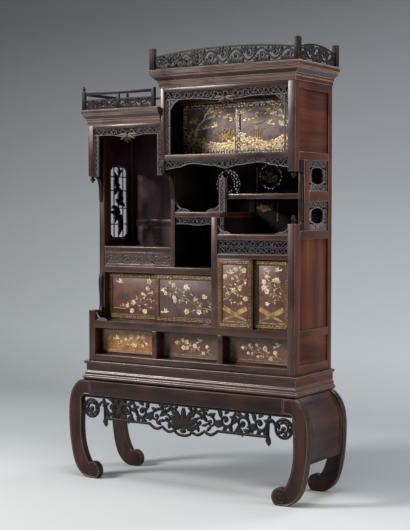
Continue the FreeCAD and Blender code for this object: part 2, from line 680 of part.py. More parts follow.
bay_width = (RIGHT_POST_X - POST - 2 * DIVIDER) / 3
bay_starts = [POST + index * (bay_width + DIVIDER) for index in range(3)]
dividers = [box(start - DIVIDER, start, 0, BOARD_BACK, BASE_TOP, DRAWER_TOP) for start in bay_starts[1:]]
drawer_guides = [
    box(INNER_LEFT, POST, POST_DEEP, REAR_POST_Y, BASE_TOP, BASE_TOP + GUIDE_HEIGHT),
    box(RIGHT_POST_X, INNER_RIGHT, POST_DEEP, REAR_POST_Y, BASE_TOP, BASE_TOP + GUIDE_HEIGHT)]
drawer_dividers = group(*dividers, *drawer_guides)

row_two_face = STEP_DEPTH + DOOR_REVEAL
sill = notched(box(INNER_LEFT, INNER_RIGHT, RAIL_DEEP, BOARD_BACK, DRAWER_TOP, SILL_TOP))
sill = sill.cut(box(0, WIDTH, RAIL_DEEP + BOARD, BOARD_BACK - BOARD, DRAWER_TOP, SILL_TOP - BOARD))
sill_rail = box(POST, RIGHT_POST_X, 0, RAIL_DEEP, DRAWER_TOP, SILL_TOP)
sill = grooved(sill, SLIM_POST, MIDDLE_BOARD_X, row_two_face, SILL_TOP, -GROOVE_DEEP)
sill = grooved(sill, MIDDLE_POST_END, RIGHT_POST_X, TALL_REVEAL, SILL_TOP, -GROOVE_DEEP)
sill_rail = grooved(sill_rail, MIDDLE_POST_END, RIGHT_POST_X, TALL_REVEAL, SILL_TOP, -GROOVE_DEEP)
sill_board = group(sill_rail, sill)

row_two_head_rail = box(SLIM_POST, MIDDLE_POST_X, STEP_DEPTH, STEP_DEPTH + HEAD_DEEP, ROW_TWO_TOP, HEAD_TOP)
row_two_head_rail = grooved(row_two_head_rail, SLIM_POST, MIDDLE_POST_X, row_two_face, ROW_TWO_TOP,
                            HEAD_GROOVE_DEEP)
row_two_board = notched(box(INNER_LEFT, MIDDLE_BOARD_X, STEP_DEPTH + HEAD_DEEP, BOARD_BACK, HEAD_TOP - BOARD,
                            HEAD_TOP))
row_two_head = group(row_two_head_rail, row_two_board)

left_shelf = notched(box(INNER_LEFT, LEFT_PARTITION_X, STEP_DEPTH, BOARD_BACK, SHELF_LOW, SHELF_TOP))

left_partition_post = box(LEFT_PARTITION_X, LEFT_PARTITION_END, STEP_DEPTH, BOARD_BACK, HEAD_TOP, UPPER_LOW)
left_partition_top = box(LEFT_PARTITION_X, LEFT_PARTITION_END, 0, BOARD_BACK, UPPER_LOW, UPPER_TOP)
left_partition = group(left_partition_post, left_partition_top)

middle_low = MIDDLE_FLOOR - FLOOR_RAIL
middle_partition = group(
    box(MIDDLE_POST_X, MIDDLE_POST_END, 0, RAIL_DEEP, SILL_TOP, middle_low),
    box(MIDDLE_BOARD_X, MIDDLE_BOARD_END, RAIL_DEEP, BOARD_BACK, SILL_TOP, middle_low))

right_floor_board = notched(box(MIDDLE_BOARD_END, INNER_RIGHT, RAIL_DEEP, BOARD_BACK, RIGHT_FLOOR - BOARD,
                                RIGHT_FLOOR))
niche_floors = group(
    box(LEFT_PARTITION_END, MIDDLE_BOARD_END, STEP_DEPTH, BOARD_BACK, middle_low, MIDDLE_FLOOR),
    box(MIDDLE_POST_END, RIGHT_POST_X, 0, RAIL_DEEP, FRIEZE_TOP, RIGHT_FLOOR),
    right_floor_board)

SHELF_EDGE = 26.0
COLUMN_Y = 75.0
COLUMN_DEEP = 22.0
COLUMN_X = 742.0
COLUMN = 30.0
shelf_start = COLUMN_X + COLUMN
right_niche_shelf = notched(box(shelf_start, INNER_RIGHT, STEP_DEPTH, BOARD_BACK, RIGHT_SHELF - SHELF_EDGE,
                                RIGHT_SHELF))

upper_floor_board = notched(box(LEFT_PARTITION_END, INNER_RIGHT, 0, BOARD_BACK, UPPER_LOW, UPPER_FLOOR))
upper_box_floor = grooved(upper_floor_board, LEFT_PARTITION_END, INNER_RIGHT, UPPER_DOOR_BACK, UPPER_FLOOR,
                          -GROOVE_DEEP)

tall_head = notched(box(MIDDLE_POST_END, RIGHT_POST_X, 0, HEAD_DEEP, TALL_TOP, FRIEZE_LOW))
tall_head = grooved(tall_head, MIDDLE_POST_END, RIGHT_POST_X, TALL_REVEAL, TALL_TOP, HEAD_GROOVE_DEEP)
upper_head_low = UPPER_FLOOR + UPPER_DOOR_HEIGHT
upper_head_y = UPPER_DOOR_BACK - DOOR_REVEAL
upper_head = box(LEFT_PARTITION_END, INNER_RIGHT, upper_head_y, upper_head_y + HEAD_DEEP, upper_head_low,
                 upper_head_low + UPPER_HEAD)
upper_head = grooved(upper_head, LEFT_PARTITION_END, INNER_RIGHT, UPPER_DOOR_BACK, upper_head_low,
                     HEAD_GROOVE_DEEP)
upper_fascia = box(LEFT_PARTITION_END, INNER_RIGHT, upper_head_y, upper_head_y + HEAD_FASCIA,
                   upper_head_low + UPPER_HEAD, UPPER_TOP - BOARD)
door_head_rails = group(tall_head, upper_head, upper_fascia)

top_boards = group(
    notched(box(INNER_LEFT, LEFT_PARTITION_X, 0, BOARD_BACK, LEFT_TOP - BOARD, LEFT_TOP)),
    notched(box(LEFT_PARTITION_END, INNER_RIGHT, 0, BOARD_BACK, UPPER_TOP - BOARD, UPPER_TOP)))

# Back: frame, thin panels and two round lattices
BACK_RAIL = 34.0
BACK_STILE = 40.0
LATTICE_RADIUS = 80.0
RIGHT_LATTICE_RADIUS = 72.0
LATTICE_X = 617.0
LATTICE_RISE = 142.0
RIGHT_LATTICE_X = 865.0
RIGHT_LATTICE_RISE = 282.0
LATTICE_RING = 9.0
LATTICE_HOLE = 12.5
LATTICE_PITCH = 32.0

back_stiles_x = (LEFT_PARTITION_X + (PARTITION - BACK_STILE) / 2,
                 MIDDLE_POST_X + (MIDDLE_POST - BACK_STILE) / 2)
columns = [(SLIM_POST, back_stiles_x[0], LEFT_TOP),
           (back_stiles_x[0] + BACK_STILE, back_stiles_x[1], UPPER_TOP),
           (back_stiles_x[1] + BACK_STILE, RIGHT_POST_X, UPPER_TOP)]
shared_levels = [CASE_LOW, SILL_TOP - BACK_RAIL, ROW_TWO_TOP]
column_levels = [shared_levels + [SHELF_TOP + 3 * BACK_RAIL],
                 shared_levels + [MIDDLE_FLOOR - BACK_RAIL, UPPER_LOW],
                 shared_levels + [RIGHT_FLOOR - BACK_RAIL, UPPER_LOW]]
lattice_z = MIDDLE_FLOOR + LATTICE_RISE
right_lattice_z = RIGHT_FLOOR + RIGHT_LATTICE_RISE
roundels = [(1, LATTICE_X, lattice_z, LATTICE_RADIUS),
            (2, RIGHT_LATTICE_X, right_lattice_z, RIGHT_LATTICE_RADIUS)]


def circle(a, z, radius):
    return ((a - radius, z), ((a, z + radius), (a + radius, z)), ((a, z - radius), (a - radius, z)))


back_members = [
    box(back_stiles_x[0], back_stiles_x[0] + BACK_STILE, BOARD_BACK, DEPTH, CASE_LOW, LEFT_TOP),
    box(LEFT_PARTITION_X, back_stiles_x[0] + BACK_STILE, BOARD_BACK, DEPTH, LEFT_TOP, UPPER_TOP),
    box(back_stiles_x[1], back_stiles_x[1] + BACK_STILE, BOARD_BACK, DEPTH, CASE_LOW, UPPER_TOP)]
back_sheets = []
panel_y = BOARD_BACK + (BACK_FRAME - BACK_PANEL) / 2
for column, ((x0, x1, top), levels) in enumerate(zip(columns, column_levels)):
    lows = levels + [top - BACK_RAIL]
    for low in lows:
        back_members.append(box(x0, x1, BOARD_BACK, DEPTH, low, low + BACK_RAIL))
    for low, high in zip(lows, lows[1:]):
        holes = [circle(x, z, radius) for owner, x, z, radius in roundels
                 if owner == column and low < z < high]
        sheet = rectangle(x0, x1, low + BACK_RAIL, high)
        back_sheets.append(front_plate(panel_y, panel_y + BACK_PANEL, sheet, holes))
back_frame = group(*back_members)
back_panels = group(*back_sheets)


def hexagon(a, z, radius):
    points = [(a + radius * math.cos(math.pi * corner / 3), z + radius * math.sin(math.pi * corner / 3))
              for corner in range(6)]
    return tuple(points)


def round_lattice(x, z, radius):
    """Disc pierced with six-sided holes on a honeycomb."""
    holes = []
    reach = radius - LATTICE_RING - LATTICE_HOLE
    rows = math.ceil(reach / (LATTICE_PITCH * math.sqrt(3) / 2))
    for row in range(-rows, rows + 1):
        dz = row * LATTICE_PITCH * math.sqrt(3) / 2
        for place in range(-rows - 1, rows + 2):
            dx = (place + (row % 2) / 2) * LATTICE_PITCH
            if math.hypot(dx, dz) <= reach:
                holes.append(hexagon(x + dx, z + dz, LATTICE_HOLE))
    y0 = DEPTH - BACK_FRAME
    return front_plate(y0, y0 + BACK_FRAME - BACK_PANEL / 2, circle(x, z, radius), holes)


back_round_lattices = group(*[round_lattice(x, z, radius) for owner, x, z, radius in roundels])

# Wing boards: shaped boards that carry the set-back front out to the main one
WING = 20.0
WING_LEDGE = 24.0
LEFT_WING_FOOT = 14.0
UPPER_WING_TAIL = 130.0
PARTITION_WING_TAIL = 192.0
BRACKET_TALL = 96.0
SCROLL_NOSE = 8.0
LOW_SCROLL_SHARES = ((0.62, 0.12), (0.86, 0.42), (1.0, 1.0))
HIGH_SCROLL_SHARES = ((0.66, 0.86), (0.86, 0.58), (1.0, 0.0))


def swept(y0, y1, z0, z1, shares):
    """Points of an S curve, as shares of the way back and of the way up."""
    return [(y0 + (y1 - y0) * back, z0 + (z1 - z0) * up) for back, up in shares]


def low_wing(x0, x1, y0, z_low, z_foot, z_top):
    """Board behind a low front post; its front edge sweeps up and back to the set-back post."""
    curve = swept(y0, STEP_DEPTH, z_foot, z_top, LOW_SCROLL_SHARES)
    edge = curve[::-1][1:] + [(y0, z_foot)]
    return side_plate(x0, x1, ((y0, z_low), (STEP_DEPTH, z_low), (STEP_DEPTH, z_top), edge))


def high_wing(x0, x1, y0, z_tail, z_nose, z_top):
    """Board behind a hanging front post; its front edge sweeps down and back to the set-back post."""
    curve = swept(y0, STEP_DEPTH, z_tail, z_nose, HIGH_SCROLL_SHARES)
    edge = curve[::-1][1:] + [(y0, z_nose)]
    return side_plate(x0, x1, ((y0, z_top), (STEP_DEPTH, z_top), (STEP_DEPTH, z_tail), edge))


wing_x = (SIDE_RAIL - WING) / 2
right_wing_x = WIDTH - wing_x - WING
wing_end = wing_x + WING
right_wing_end = right_wing_x + WING
left_low_wing = low_wing(wing_x, wing_end, POST_DEEP, SILL_TOP, SILL_TOP + LEFT_WING_FOOT, ROW_TWO_TOP)
left_high_wing = high_wing(wing_x, wing_end, RAIL_DEEP, left_box_low - UPPER_WING_TAIL, left_box_low,
                           LEFT_TOP - BOARD)
partition_x = LEFT_PARTITION_X + (PARTITION - WING) / 2
partition_wing = high_wing(partition_x, partition_x + WING, 0, UPPER_LOW - PARTITION_WING_TAIL,
                           upper_post_low, UPPER_LOW)
right_low_wing = low_wing(right_wing_x, right_wing_end, POST_DEEP, right_rail_top,
                          right_rail_top + LEFT_WING_FOOT, right_post_top + LEFT_WING_FOOT)
right_high_wing = high_wing(right_wing_x, right_wing_end, UPPER_POST_Y, upper_post_low - LEFT_WING_FOOT,
                            upper_post_low, upper_side_low)
middle_wing = low_wing(MIDDLE_BOARD_X - WING, MIDDLE_BOARD_X, RAIL_DEEP, HEAD_TOP,
                       HEAD_TOP + LEFT_WING_FOOT, HEAD_TOP + BRACKET_TALL)
wing_boards = group(left_low_wing, left_high_wing, partition_wing, right_low_wing, right_high_wing,
                    middle_wing)

# Carved frames and aprons of the fronts
FRET = 12.0
FRET_BACK = 8.0
LEFT_STRIP = 25.0
LEFT_APRON = 35.0
APRON_POINT = 12.0
UPPER_STRIP = 26.0
UPPER_APRON = 41.0
CORNER_LACE = 46.0
SCALLOP_DROP = 46.0
SCALLOP_SHARES = ((0.10, 0.80), (0.22, 0.42), (0.40, 0.66))
NICHE_APRON = 34.0
NICHE_BRACKET = 84.0
NICHE_BRACKET_HIGH = 50.0
FLOOR_BRACKET = 70.0
FLOOR_BRACKET_HIGH = 40.0
LACE_PITCH = 82.0
STRIP_PITCH = 118.0

fret_y = FRET_BACK
fret_end = fret_y + FRET


def strip(x0, x1, z0, z1, y0):
    """Upright carved strip with a row of leaf holes."""
    holes = []
    count = max(2, round((z1 - z0) / STRIP_PITCH))
    step = (z1 - z0) / count
    for index in range(count):
        lean = 90 + (LEAF_LEAN if index % 2 else -LEAF_LEAN) / 4
        z = z0 + step * (index + 1 / 2)
        long = min(LEAF_LONG_SHARE * step, 2 * (x1 - x0))
        holes.append(leaf((x0 + x1) / 2, z, long, LEAF_WIDE_SHARE * (x1 - x0), lean))
    return front_plate(y0, y0 + FRET, rectangle(x0, x1, z0, z1), holes)


def drop_apron(x0, x1, z_top, drop, point, y0):
    """Apron with a flat band and a middle that hangs lower, pierced along its length."""
    mid = (x0 + x1) / 2
    span = x1 - x0
    low = z_top - drop
    shape = ((x0, z_top), (x0, low), (mid - span / 5, low),
             ((mid - span / 8, low - point / 4), (mid - span / 12, low - point / 2)),
             ((mid, low - point), (mid + span / 12, low - point / 2)),
             ((mid + span / 8, low - point / 4), (mid + span / 5, low)), (x1, low), (x1, z_top))
    rim = LACE_RIM / 2
    holes = vine(x0 + rim, x1 - rim, level(low + rim), level(z_top - rim), LACE_PITCH)
    return front_plate(y0, y0 + FRET, shape, holes)


def corner_lace(x, z, reach, side, y0):
    """Three-cornered piece in the upper corner of a carved frame."""
    shape = ((x, z), (x, z - reach), ((x + side * reach / 3, z - reach / 3), (x + side * reach, z)))
    return front_plate(y0, y0 + FRET, shape)


def bracket(x, z, long, high, side, y0):
    """Low carved bracket in a lower corner, its edge stepped in two bows."""
    shape = ((x, z), (x + side * long, z),
             ((x + side * long * 3 / 4, z + high / 3), (x + side * long / 2, z + high / 3)),
             ((x + side * long / 4, z + high / 2), (x, z + high)))
    return front_plate(y0, y0 + FRET, shape)


left_fret_x0, left_fret_x1 = SLIM_POST, LEFT_PARTITION_X
left_top_z = LEFT_TOP - BOARD
left_apron_low = left_top_z - LEFT_APRON
left_box_fret = group(
    drop_apron(left_fret_x0, left_fret_x1, left_top_z, LEFT_APRON, APRON_POINT, fret_y),
    strip(left_fret_x0, left_fret_x0 + LEFT_STRIP, left_box_low, left_apron_low, fret_y),
    strip(left_fret_x1 - LEFT_STRIP, left_fret_x1, left_box_low, left_apron_low, fret_y))

upper_x0, upper_x1 = LEFT_PARTITION_END, WIDTH - UPPER_POST_X
upper_z1 = UPPER_TOP - BOARD
upper_apron_low = upper_z1 - UPPER_APRON
upper_box_fret = group(
    drop_apron(upper_x0, upper_x1, upper_z1, UPPER_APRON, APRON_POINT, fret_y),
    strip(upper_x0, upper_x0 + UPPER_STRIP, UPPER_FLOOR, upper_apron_low, fret_y),
    strip(upper_x1 - UPPER_STRIP, upper_x1, UPPER_FLOOR, upper_apron_low, fret_y),
    corner_lace(upper_x0 + UPPER_STRIP, upper_apron_low, CORNER_LACE, 1, fret_y),
    corner_lace(upper_x1 - UPPER_STRIP, upper_apron_low, CORNER_LACE, -1, fret_y))


def scalloped():
    """Apron under the upper box: low at both ends and in the middle, arched between."""
    x0, x1 = LEFT_PARTITION_END, WIDTH - UPPER_POST_X
    z = UPPER_LOW
    half = (x1 - x0) / 2
    left = [(x0 + half * along * 2, z - SCALLOP_DROP * down) for along, down in SCALLOP_SHARES]
    right = [(x0 + x1 - x, height) for x, height in left[::-1]]
    middle = ((x0 + x1) / 2, z - SCALLOP_DROP)
    low = z - SCALLOP_DROP
    shape = ((x0, z), (x0, low), left + [middle], right + [(x1, low)], (x1, z))
    rim = LACE_RIM / 2
    crest = z - SCALLOP_DROP * SCALLOP_SHARES[1][1]
    holes = vine(x0 + rim, x1 - rim, level(crest + rim / 2), level(z - rim / 2), LACE_PITCH)
    return front_plate(fret_y, fret_y + FRET, shape, holes)


scalloped_apron = scalloped()

niche_apron_y = STEP_DEPTH + FRET_BACK
niche_apron_end = MIDDLE_BOARD_X - WING
niche_frets = group(
    drop_apron(LEFT_PARTITION_END, niche_apron_end, middle_low, NICHE_APRON, APRON_POINT / 2, niche_apron_y),
    bracket(LEFT_PARTITION_END, MIDDLE_FLOOR, NICHE_BRACKET, NICHE_BRACKET_HIGH, 1, niche_apron_y),
    bracket(COLUMN_X, MIDDLE_FLOOR, NICHE_BRACKET, NICHE_BRACKET_HIGH, -1, STEP_DEPTH - FRET_BACK / 2),
    bracket(MIDDLE_POST_END, RIGHT_FLOOR, FLOOR_BRACKET, FLOOR_BRACKET_HIGH, 1, fret_y),
    bracket(RIGHT_POST_X, RIGHT_FLOOR, FLOOR_BRACKET, FLOOR_BRACKET_HIGH, -1, fret_y),
    bracket(POST, SILL_TOP, FLOOR_BRACKET, FLOOR_BRACKET_HIGH, 1, fret_y),
    bracket(MIDDLE_POST_X, SILL_TOP, FLOOR_BRACKET, FLOOR_BRACKET_HIGH, -1, fret_y))

frieze_x0, frieze_x1 = MIDDLE_POST_END, RIGHT_POST_X
frieze_holes = vine(frieze_x0 + LACE_RIM, frieze_x1 - LACE_RIM, level(FRIEZE_LOW + LACE_RIM),
                    level(FRIEZE_TOP - LACE_RIM), LACE_PITCH)
frieze_board = rectangle(frieze_x0, frieze_x1, FRIEZE_LOW, FRIEZE_TOP)
door_frieze = front_plate(fret_y, fret_end, frieze_board, frieze_holes)

# Column between the open niches, turned colonette, hanging knobs and finials
COLONETTE_RADIUS = 9.0
COLONETTE_SHARES = ((0.65, 0.0), (0.65, 0.47), (1.0, 0.47), (1.0, 0.53), (0.65, 0.53), (0.65, 1.0))
KNOB_RADIUS = 13.0
KNOB_HEIGHT = 32.0
KNOB_SHARES = ((0.4, 0.0), (1.0, 0.5), (0.7, 1.0))
FINIAL_RADIUS = 12.0
FINIAL_HEIGHT = 42.0
column_z = MIDDLE_FLOOR
middle_column = box(COLUMN_X, COLUMN_X + COLUMN, COLUMN_Y, COLUMN_Y + COLUMN_DEEP, column_z, UPPER_LOW)
column_foot = box(COLUMN_X, COLUMN_X + COLUMN, COLUMN_Y, STEP_DEPTH, middle_low, column_z)
colonette_low = right_post_top + LEFT_WING_FOOT
colonette_high = upper_post_low - LEFT_WING_FOOT
colonette = turned(WIDTH - COLONETTE_RADIUS - wing_x, STEP_DEPTH - COLONETTE_RADIUS, colonette_low,
                   [(COLONETTE_RADIUS * out, (colonette_high - colonette_low) * up)
                    for out, up in COLONETTE_SHARES])


def knob(x, y, z, radius, height, upward):
    """Turned bud; it hangs from z, or stands on it when upward."""
    profile = [(radius * out, height * up) for out, up in KNOB_SHARES]
    if upward:
        profile = [(out, height - up) for out, up in profile[::-1]]
        return turned(x, y, z, profile)
    return turned(x, y, z - height, profile)


turned_posts = group(
    middle_column, column_foot, colonette,
    knob(SLIM_POST / 2, RAIL_DEEP / 2, left_box_low, KNOB_RADIUS, KNOB_HEIGHT, False),
    knob(WIDTH - UPPER_POST_X / 2, UPPER_POST_Y / 2, upper_post_low, KNOB_RADIUS, KNOB_HEIGHT, False),
    knob(WIDTH - POST / 2, POST / 2, right_post_top, FINIAL_RADIUS, FINIAL_HEIGHT, True))

# Galleries on the two cornices
GALLERY_POST = 27.0
GALLERY_POST_HIGH = 106.0
GALLERY_INSET = 6.0
ARCH_THICK = 10.0
ARCH_END = 66.0
ARCH_RISE = 24.0
SMALL_POST = 18.0
SMALL_POST_HIGH = 96.0
SMALL_FINIAL = 24.0
SMALL_FINIAL_RADIUS = 8.0
TOP_RAIL = 16.0
TOP_RAIL_RISE = 74.0
SMALL_RAIL = 9.0
SMALL_LACE = 52.0

gallery_z = RIGHT_CORNICE_TOP
gallery_x0 = LEFT_PARTITION_X - RIGHT_OVER + GALLERY_INSET
gallery_x1 = WIDTH + RIGHT_OVER - GALLERY_INSET - GALLERY_POST
gallery_y0 = -RIGHT_OVER + GALLERY_INSET
gallery_y1 = DEPTH - GALLERY_INSET - GALLERY_POST
right_gallery_posts = group(*[
    box(x, x + GALLERY_POST, y, y + GALLERY_POST, gallery_z, gallery_z + GALLERY_POST_HIGH)
    for x in (gallery_x0, gallery_x1) for y in (gallery_y0, gallery_y1)])


def arch_shape(a0, a1, z, end, rise):
    return ((a0, z), (a1, z), (a1, z + end), (((a0 + a1) / 2, z + end + rise), (a0, z + end)))


def arch_holes(a0, a1, z, end, rise, pitch):
    """A row of leaves that follows the arch."""
    middle, half = (a0 + a1) / 2, (a1 - a0) / 2

    def crown(a):
        return z + end + rise * (1 - ((a - middle) / half) ** 2) - LACE_RIM

    return vine(a0 + LACE_RIM, a1 - LACE_RIM, level(z + LACE_RIM), crown, pitch)


front_arch = (gallery_x0 + GALLERY_POST, gallery_x1, gallery_z, ARCH_END, ARCH_RISE)
side_arch = (gallery_y0 + GALLERY_POST, gallery_y1, gallery_z, ARCH_END, ARCH_RISE)
arch_y = gallery_y0 + (GALLERY_POST - ARCH_THICK) / 2
arch_inset = (GALLERY_POST - ARCH_THICK) / 2
front_arch_panel = front_plate(arch_y, arch_y + ARCH_THICK, arch_shape(*front_arch),
                               arch_holes(*front_arch, LACE_PITCH))
arch_x = gallery_x1 + arch_inset
side_arch_panel = side_plate(arch_x, arch_x + ARCH_THICK, arch_shape(*side_arch),
                             arch_holes(*side_arch, LACE_PITCH))
left_arch_panel = moved(side_arch_panel, gallery_x0 - gallery_x1, 0, 0)

# Left gallery: posts with finials, a top rail, a mid stile and pierced lower panels
small_z = LEFT_CORNICE_TOP
small_x0 = -LEFT_OVER + GALLERY_INSET
small_x1 = LEFT_PARTITION_X - RIGHT_OVER + GALLERY_INSET
small_y0 = -LEFT_OVER + GALLERY_INSET
small_y1 = DEPTH - GALLERY_INSET - SMALL_POST
rail_inset = (SMALL_POST - SMALL_RAIL) / 2
rail_low = small_z + TOP_RAIL_RISE
rail_top = rail_low + TOP_RAIL
mid_stile_x = (small_x0 + SMALL_POST + small_x1) / 2 - SMALL_POST / 2
mid_stile_y = (small_y0 + SMALL_POST + small_y1) / 2 - SMALL_POST / 2

small_places = [(small_x0, small_y0), (small_x1, small_y0), (small_x0, small_y1), (small_x1, small_y1)]
small_posts = [box(x, x + SMALL_POST, y, y + SMALL_POST, small_z, small_z + SMALL_POST_HIGH)
               for x, y in small_places]
post_top = small_z + SMALL_POST_HIGH
post_middle = SMALL_POST / 2
small_finials = [knob(x + post_middle, y + post_middle, post_top, SMALL_FINIAL_RADIUS, SMALL_FINIAL, True)
                 for x, y in (small_places[0], small_places[2])]
small_front = (small_y0 + rail_inset, small_y0 + rail_inset + SMALL_RAIL)
small_rear = (small_y1 + rail_inset, small_y1 + rail_inset + SMALL_RAIL)
small_side = (small_x0 + rail_inset, small_x0 + rail_inset + SMALL_RAIL)
small_rails = [
    box(small_x0 + SMALL_POST, small_x1, *small_front, rail_low, rail_top),
    box(small_x0 + SMALL_POST, small_x1, *small_rear, rail_low, rail_top),
    box(*small_side, small_y0 + SMALL_POST, small_y1, rail_low, rail_top),
    box(mid_stile_x, mid_stile_x + SMALL_POST, *small_front, small_z, rail_low),
    box(*small_side, mid_stile_y, mid_stile_y + SMALL_POST, small_z, rail_low)]
left_gallery = group(*small_posts, *small_finials, *small_rails)


def small_lace(a0, a1, make, first, last):
    """Pierced panel between two uprights of the left gallery."""
    rim = LACE_RIM
    holes = vine(a0 + rim, a1 - rim, level(small_z + rim), level(small_z + SMALL_LACE - rim), LACE_PITCH)
    return make(first, last, rectangle(a0, a1, small_z, small_z + SMALL_LACE), holes)


gallery_openwork = group(
    front_arch_panel, side_arch_panel, left_arch_panel,
    small_lace(small_x0 + SMALL_POST, mid_stile_x, front_plate, *small_front),
    small_lace(mid_stile_x + SMALL_POST, small_x1, front_plate, *small_front),
    small_lace(small_y0 + SMALL_POST, mid_stile_y, side_plate, *small_side),
    small_lace(mid_stile_y + SMALL_POST, small_y1, side_plate, *small_side))

# Sliding doors: a frame with tongues that run in the grooves, and a panel let into it
STILE = 27.0
DOOR_PANEL = 8.0
PANEL_BACK = 4.0
TONGUE_HIGH = 6.0
UPPER_OVERLAP = 70.0
ROW_TWO_OVERLAP = 100.0
TALL_OVERLAP = 8.0


def door(x0, width, middle, z0, z1):
    """Frame and panel of one door whose track's middle lies at this depth."""
    y0, y1 = middle - DOOR / 2, middle + DOOR / 2
    x1 = x0 + width
    low, high = z0 + SIDE_RUN, z1 - SIDE_RUN
    frame = box(x0, x1, y0, y1, low, high)
    frame = frame.cut(box(x0 + STILE, x1 - STILE, y0, y1, low + STILE, high - STILE))
    foot = box(x0, x1, middle - TONGUE / 2, middle + TONGUE / 2, z0 - GROOVE_DEEP + RUN, low)
    head = box(x0, x1, middle - TONGUE / 2, middle + TONGUE / 2, high, z1 + TONGUE_HIGH)
    frame = frame.fuse([foot, head]).removeSplitter()
    panel_y0 = y0 + PANEL_BACK
    panel = box(x0 + STILE, x1 - STILE, panel_y0, panel_y0 + DOOR_PANEL, low + STILE, high - STILE)
    return frame, panel


def door_pair(x0, x1, overlap, first_face, z0, z1, left_in_front):
    """Two doors that close an opening from x0 to x1 with an overlap in the middle."""
    front, rear = tracks(first_face)
    left_track, right_track = (front, rear) if left_in_front else (rear, front)
    width = (x1 - x0 - 2 * RUN + overlap) / 2
    return (door(x0 + RUN, width, left_track, z0, z1), door(x1 - RUN - width, width, right_track, z0, z1))


upper_doors = door_pair(LEFT_PARTITION_END, INNER_RIGHT, UPPER_OVERLAP, UPPER_DOOR_BACK, UPPER_FLOOR,
                        upper_head_low, False)
row_two_doors = door_pair(SLIM_POST, MIDDLE_BOARD_X, ROW_TWO_OVERLAP, row_two_face, SILL_TOP, ROW_TWO_TOP,
                          False)
tall_doors = door_pair(MIDDLE_POST_END, RIGHT_POST_X, TALL_OVERLAP, TALL_REVEAL, SILL_TOP, TALL_TOP, True)

# Drawers: a front with a raised field, and a box of four boards
DRAWER_RECESS = 54.0
DRAWER_FRONT = 16.0
DRAWER_BOARD = 10.0
DRAWER_FLOOR = 6.0
DRAWER_BACK_GAP = 12.0
BOX_LOWER = 24.0
FRONT_MARGIN = 24.0
FRONT_FIELD = 3.0
SMALL_RECESS = 3.0


def drawer(x0, x1, y0, z0, z1, margin):
    """Front and box of a drawer that fills the opening x0 to x1, z0 to z1 from the depth y0."""
    left, right = x0 + SIDE_RUN, x1 - SIDE_RUN
    low, high = z0 + RUN, z1 - SIDE_RUN
    back = BOARD_BACK - DRAWER_BACK_GAP
    front = box(left, right, y0, y0 + DRAWER_FRONT, low, high)
    sunk = box(left + margin, right - margin, y0, y0 + FRONT_FIELD, low + margin, high - margin)
    inner = y0 + DRAWER_FRONT
    top = high - BOX_LOWER
    sides = [box(left, left + DRAWER_BOARD, inner, back, low, top),
             box(right - DRAWER_BOARD, right, inner, back, low, top)]
    inside = (left + DRAWER_BOARD, right - DRAWER_BOARD)
    rear = box(*inside, back - DRAWER_BOARD, back, low, top)
    floor = box(*inside, inner, back - DRAWER_BOARD, low, low + DRAWER_FLOOR)
    return front.cut(sunk), group(*sides, rear, floor)


base_drawers = [drawer(start, start + bay_width, DRAWER_RECESS, BASE_TOP, DRAWER_TOP, FRONT_MARGIN / 2)
                for start in bay_starts]
small_drawer = drawer(SLIM_POST, LEFT_PARTITION_X, STEP_DEPTH + SMALL_RECESS, HEAD_TOP, SHELF_LOW,
                      FRONT_MARGIN / 3)

nodes = {
    "stand_front_legs": stand_front_legs,
    "stand_rear_legs": stand_rear_legs,
    "stand_side_panel": stand_side_panel,
    "stand_aprons": stand_aprons,
    "stand_openwork_apron": stand_openwork_apron,
    "stand_top_board": stand_top_board,
    "plinth_moulding": plinth_moulding,
    "left_side_frame": left_side_frame,
    "left_side_panels": left_side_panels,
    "left_window_lattice": left_window_lattice,
    "right_side_frame": right_side_frame,
    "right_side_panels": right_side_panels,
    "right_side_openwork": right_side_openwork,
    "back_frame": back_frame,
    "back_panels": back_panels,
    "back_round_lattices": back_round_lattices,
    "bottom_board": bottom_board,
    "drawer_dividers": drawer_dividers,
    "sill_board": sill_board,
    "row_two_head": row_two_head,
    "left_shelf": left_shelf,
    "left_partition": left_partition,
    "middle_partition": middle_partition,
    "niche_floors": niche_floors,
    "right_niche_shelf": right_niche_shelf,
    "upper_box_floor": upper_box_floor,
    "door_head_rails": door_head_rails,
    "top_boards": top_boards,
    "wing_boards": wing_boards,
    "left_box_fret": left_box_fret,
    "upper_box_fret": upper_box_fret,
    "scalloped_apron": scalloped_apron,
    "niche_frets": niche_frets,
    "door_frieze": door_frieze,
    "turned_posts": turned_posts,
    "left_cornice": left_cornice,
    "right_cornice": right_cornice,
    "left_gallery": left_gallery,
    "right_gallery_posts": right_gallery_posts,
    "gallery_openwork": gallery_openwork,
}
for row, pair in (("upper", upper_doors), ("row_two", row_two_doors), ("tall", tall_doors)):
    for side, (frame, panel) in zip(("left", "right"), pair):
        nodes[f"{row}_{side}_door_frame"] = frame
        nodes[f"{row}_{side}_door_panel"] = panel
for name, (front, body) in zip(("left", "middle", "right"), base_drawers):
    nodes[f"{name}_drawer_front"] = front
    nodes[f"{name}_drawer_box"] = body
nodes["small_drawer_front"], nodes["small_drawer_box"] = small_drawer

os.makedirs("parts", exist_ok=True)
origin = Vector(-WIDTH / 2, -(DEPTH - STAND_FRONT) / 2, 0)
for name, shape in nodes.items():
    placed = shape.copy()
    placed.translate(origin)
    placed.exportStep(f"parts/{name}.step")
print(len(nodes), "nodes")
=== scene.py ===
# %% [markdown]
# The piece is an East Asian display cabinet in dark waxed rosewood. It stands on scroll legs, with pierced
# aprons, open niches, sliding doors with inlay and railed tops. The solid model is loaded first and stays
# where it is. Every board, carving and inlay made below is set on it, so nothing has to be fitted by eye.

# %% Load the solid model
import json
import math
import random

import bpy
from mathutils import Matrix, Vector


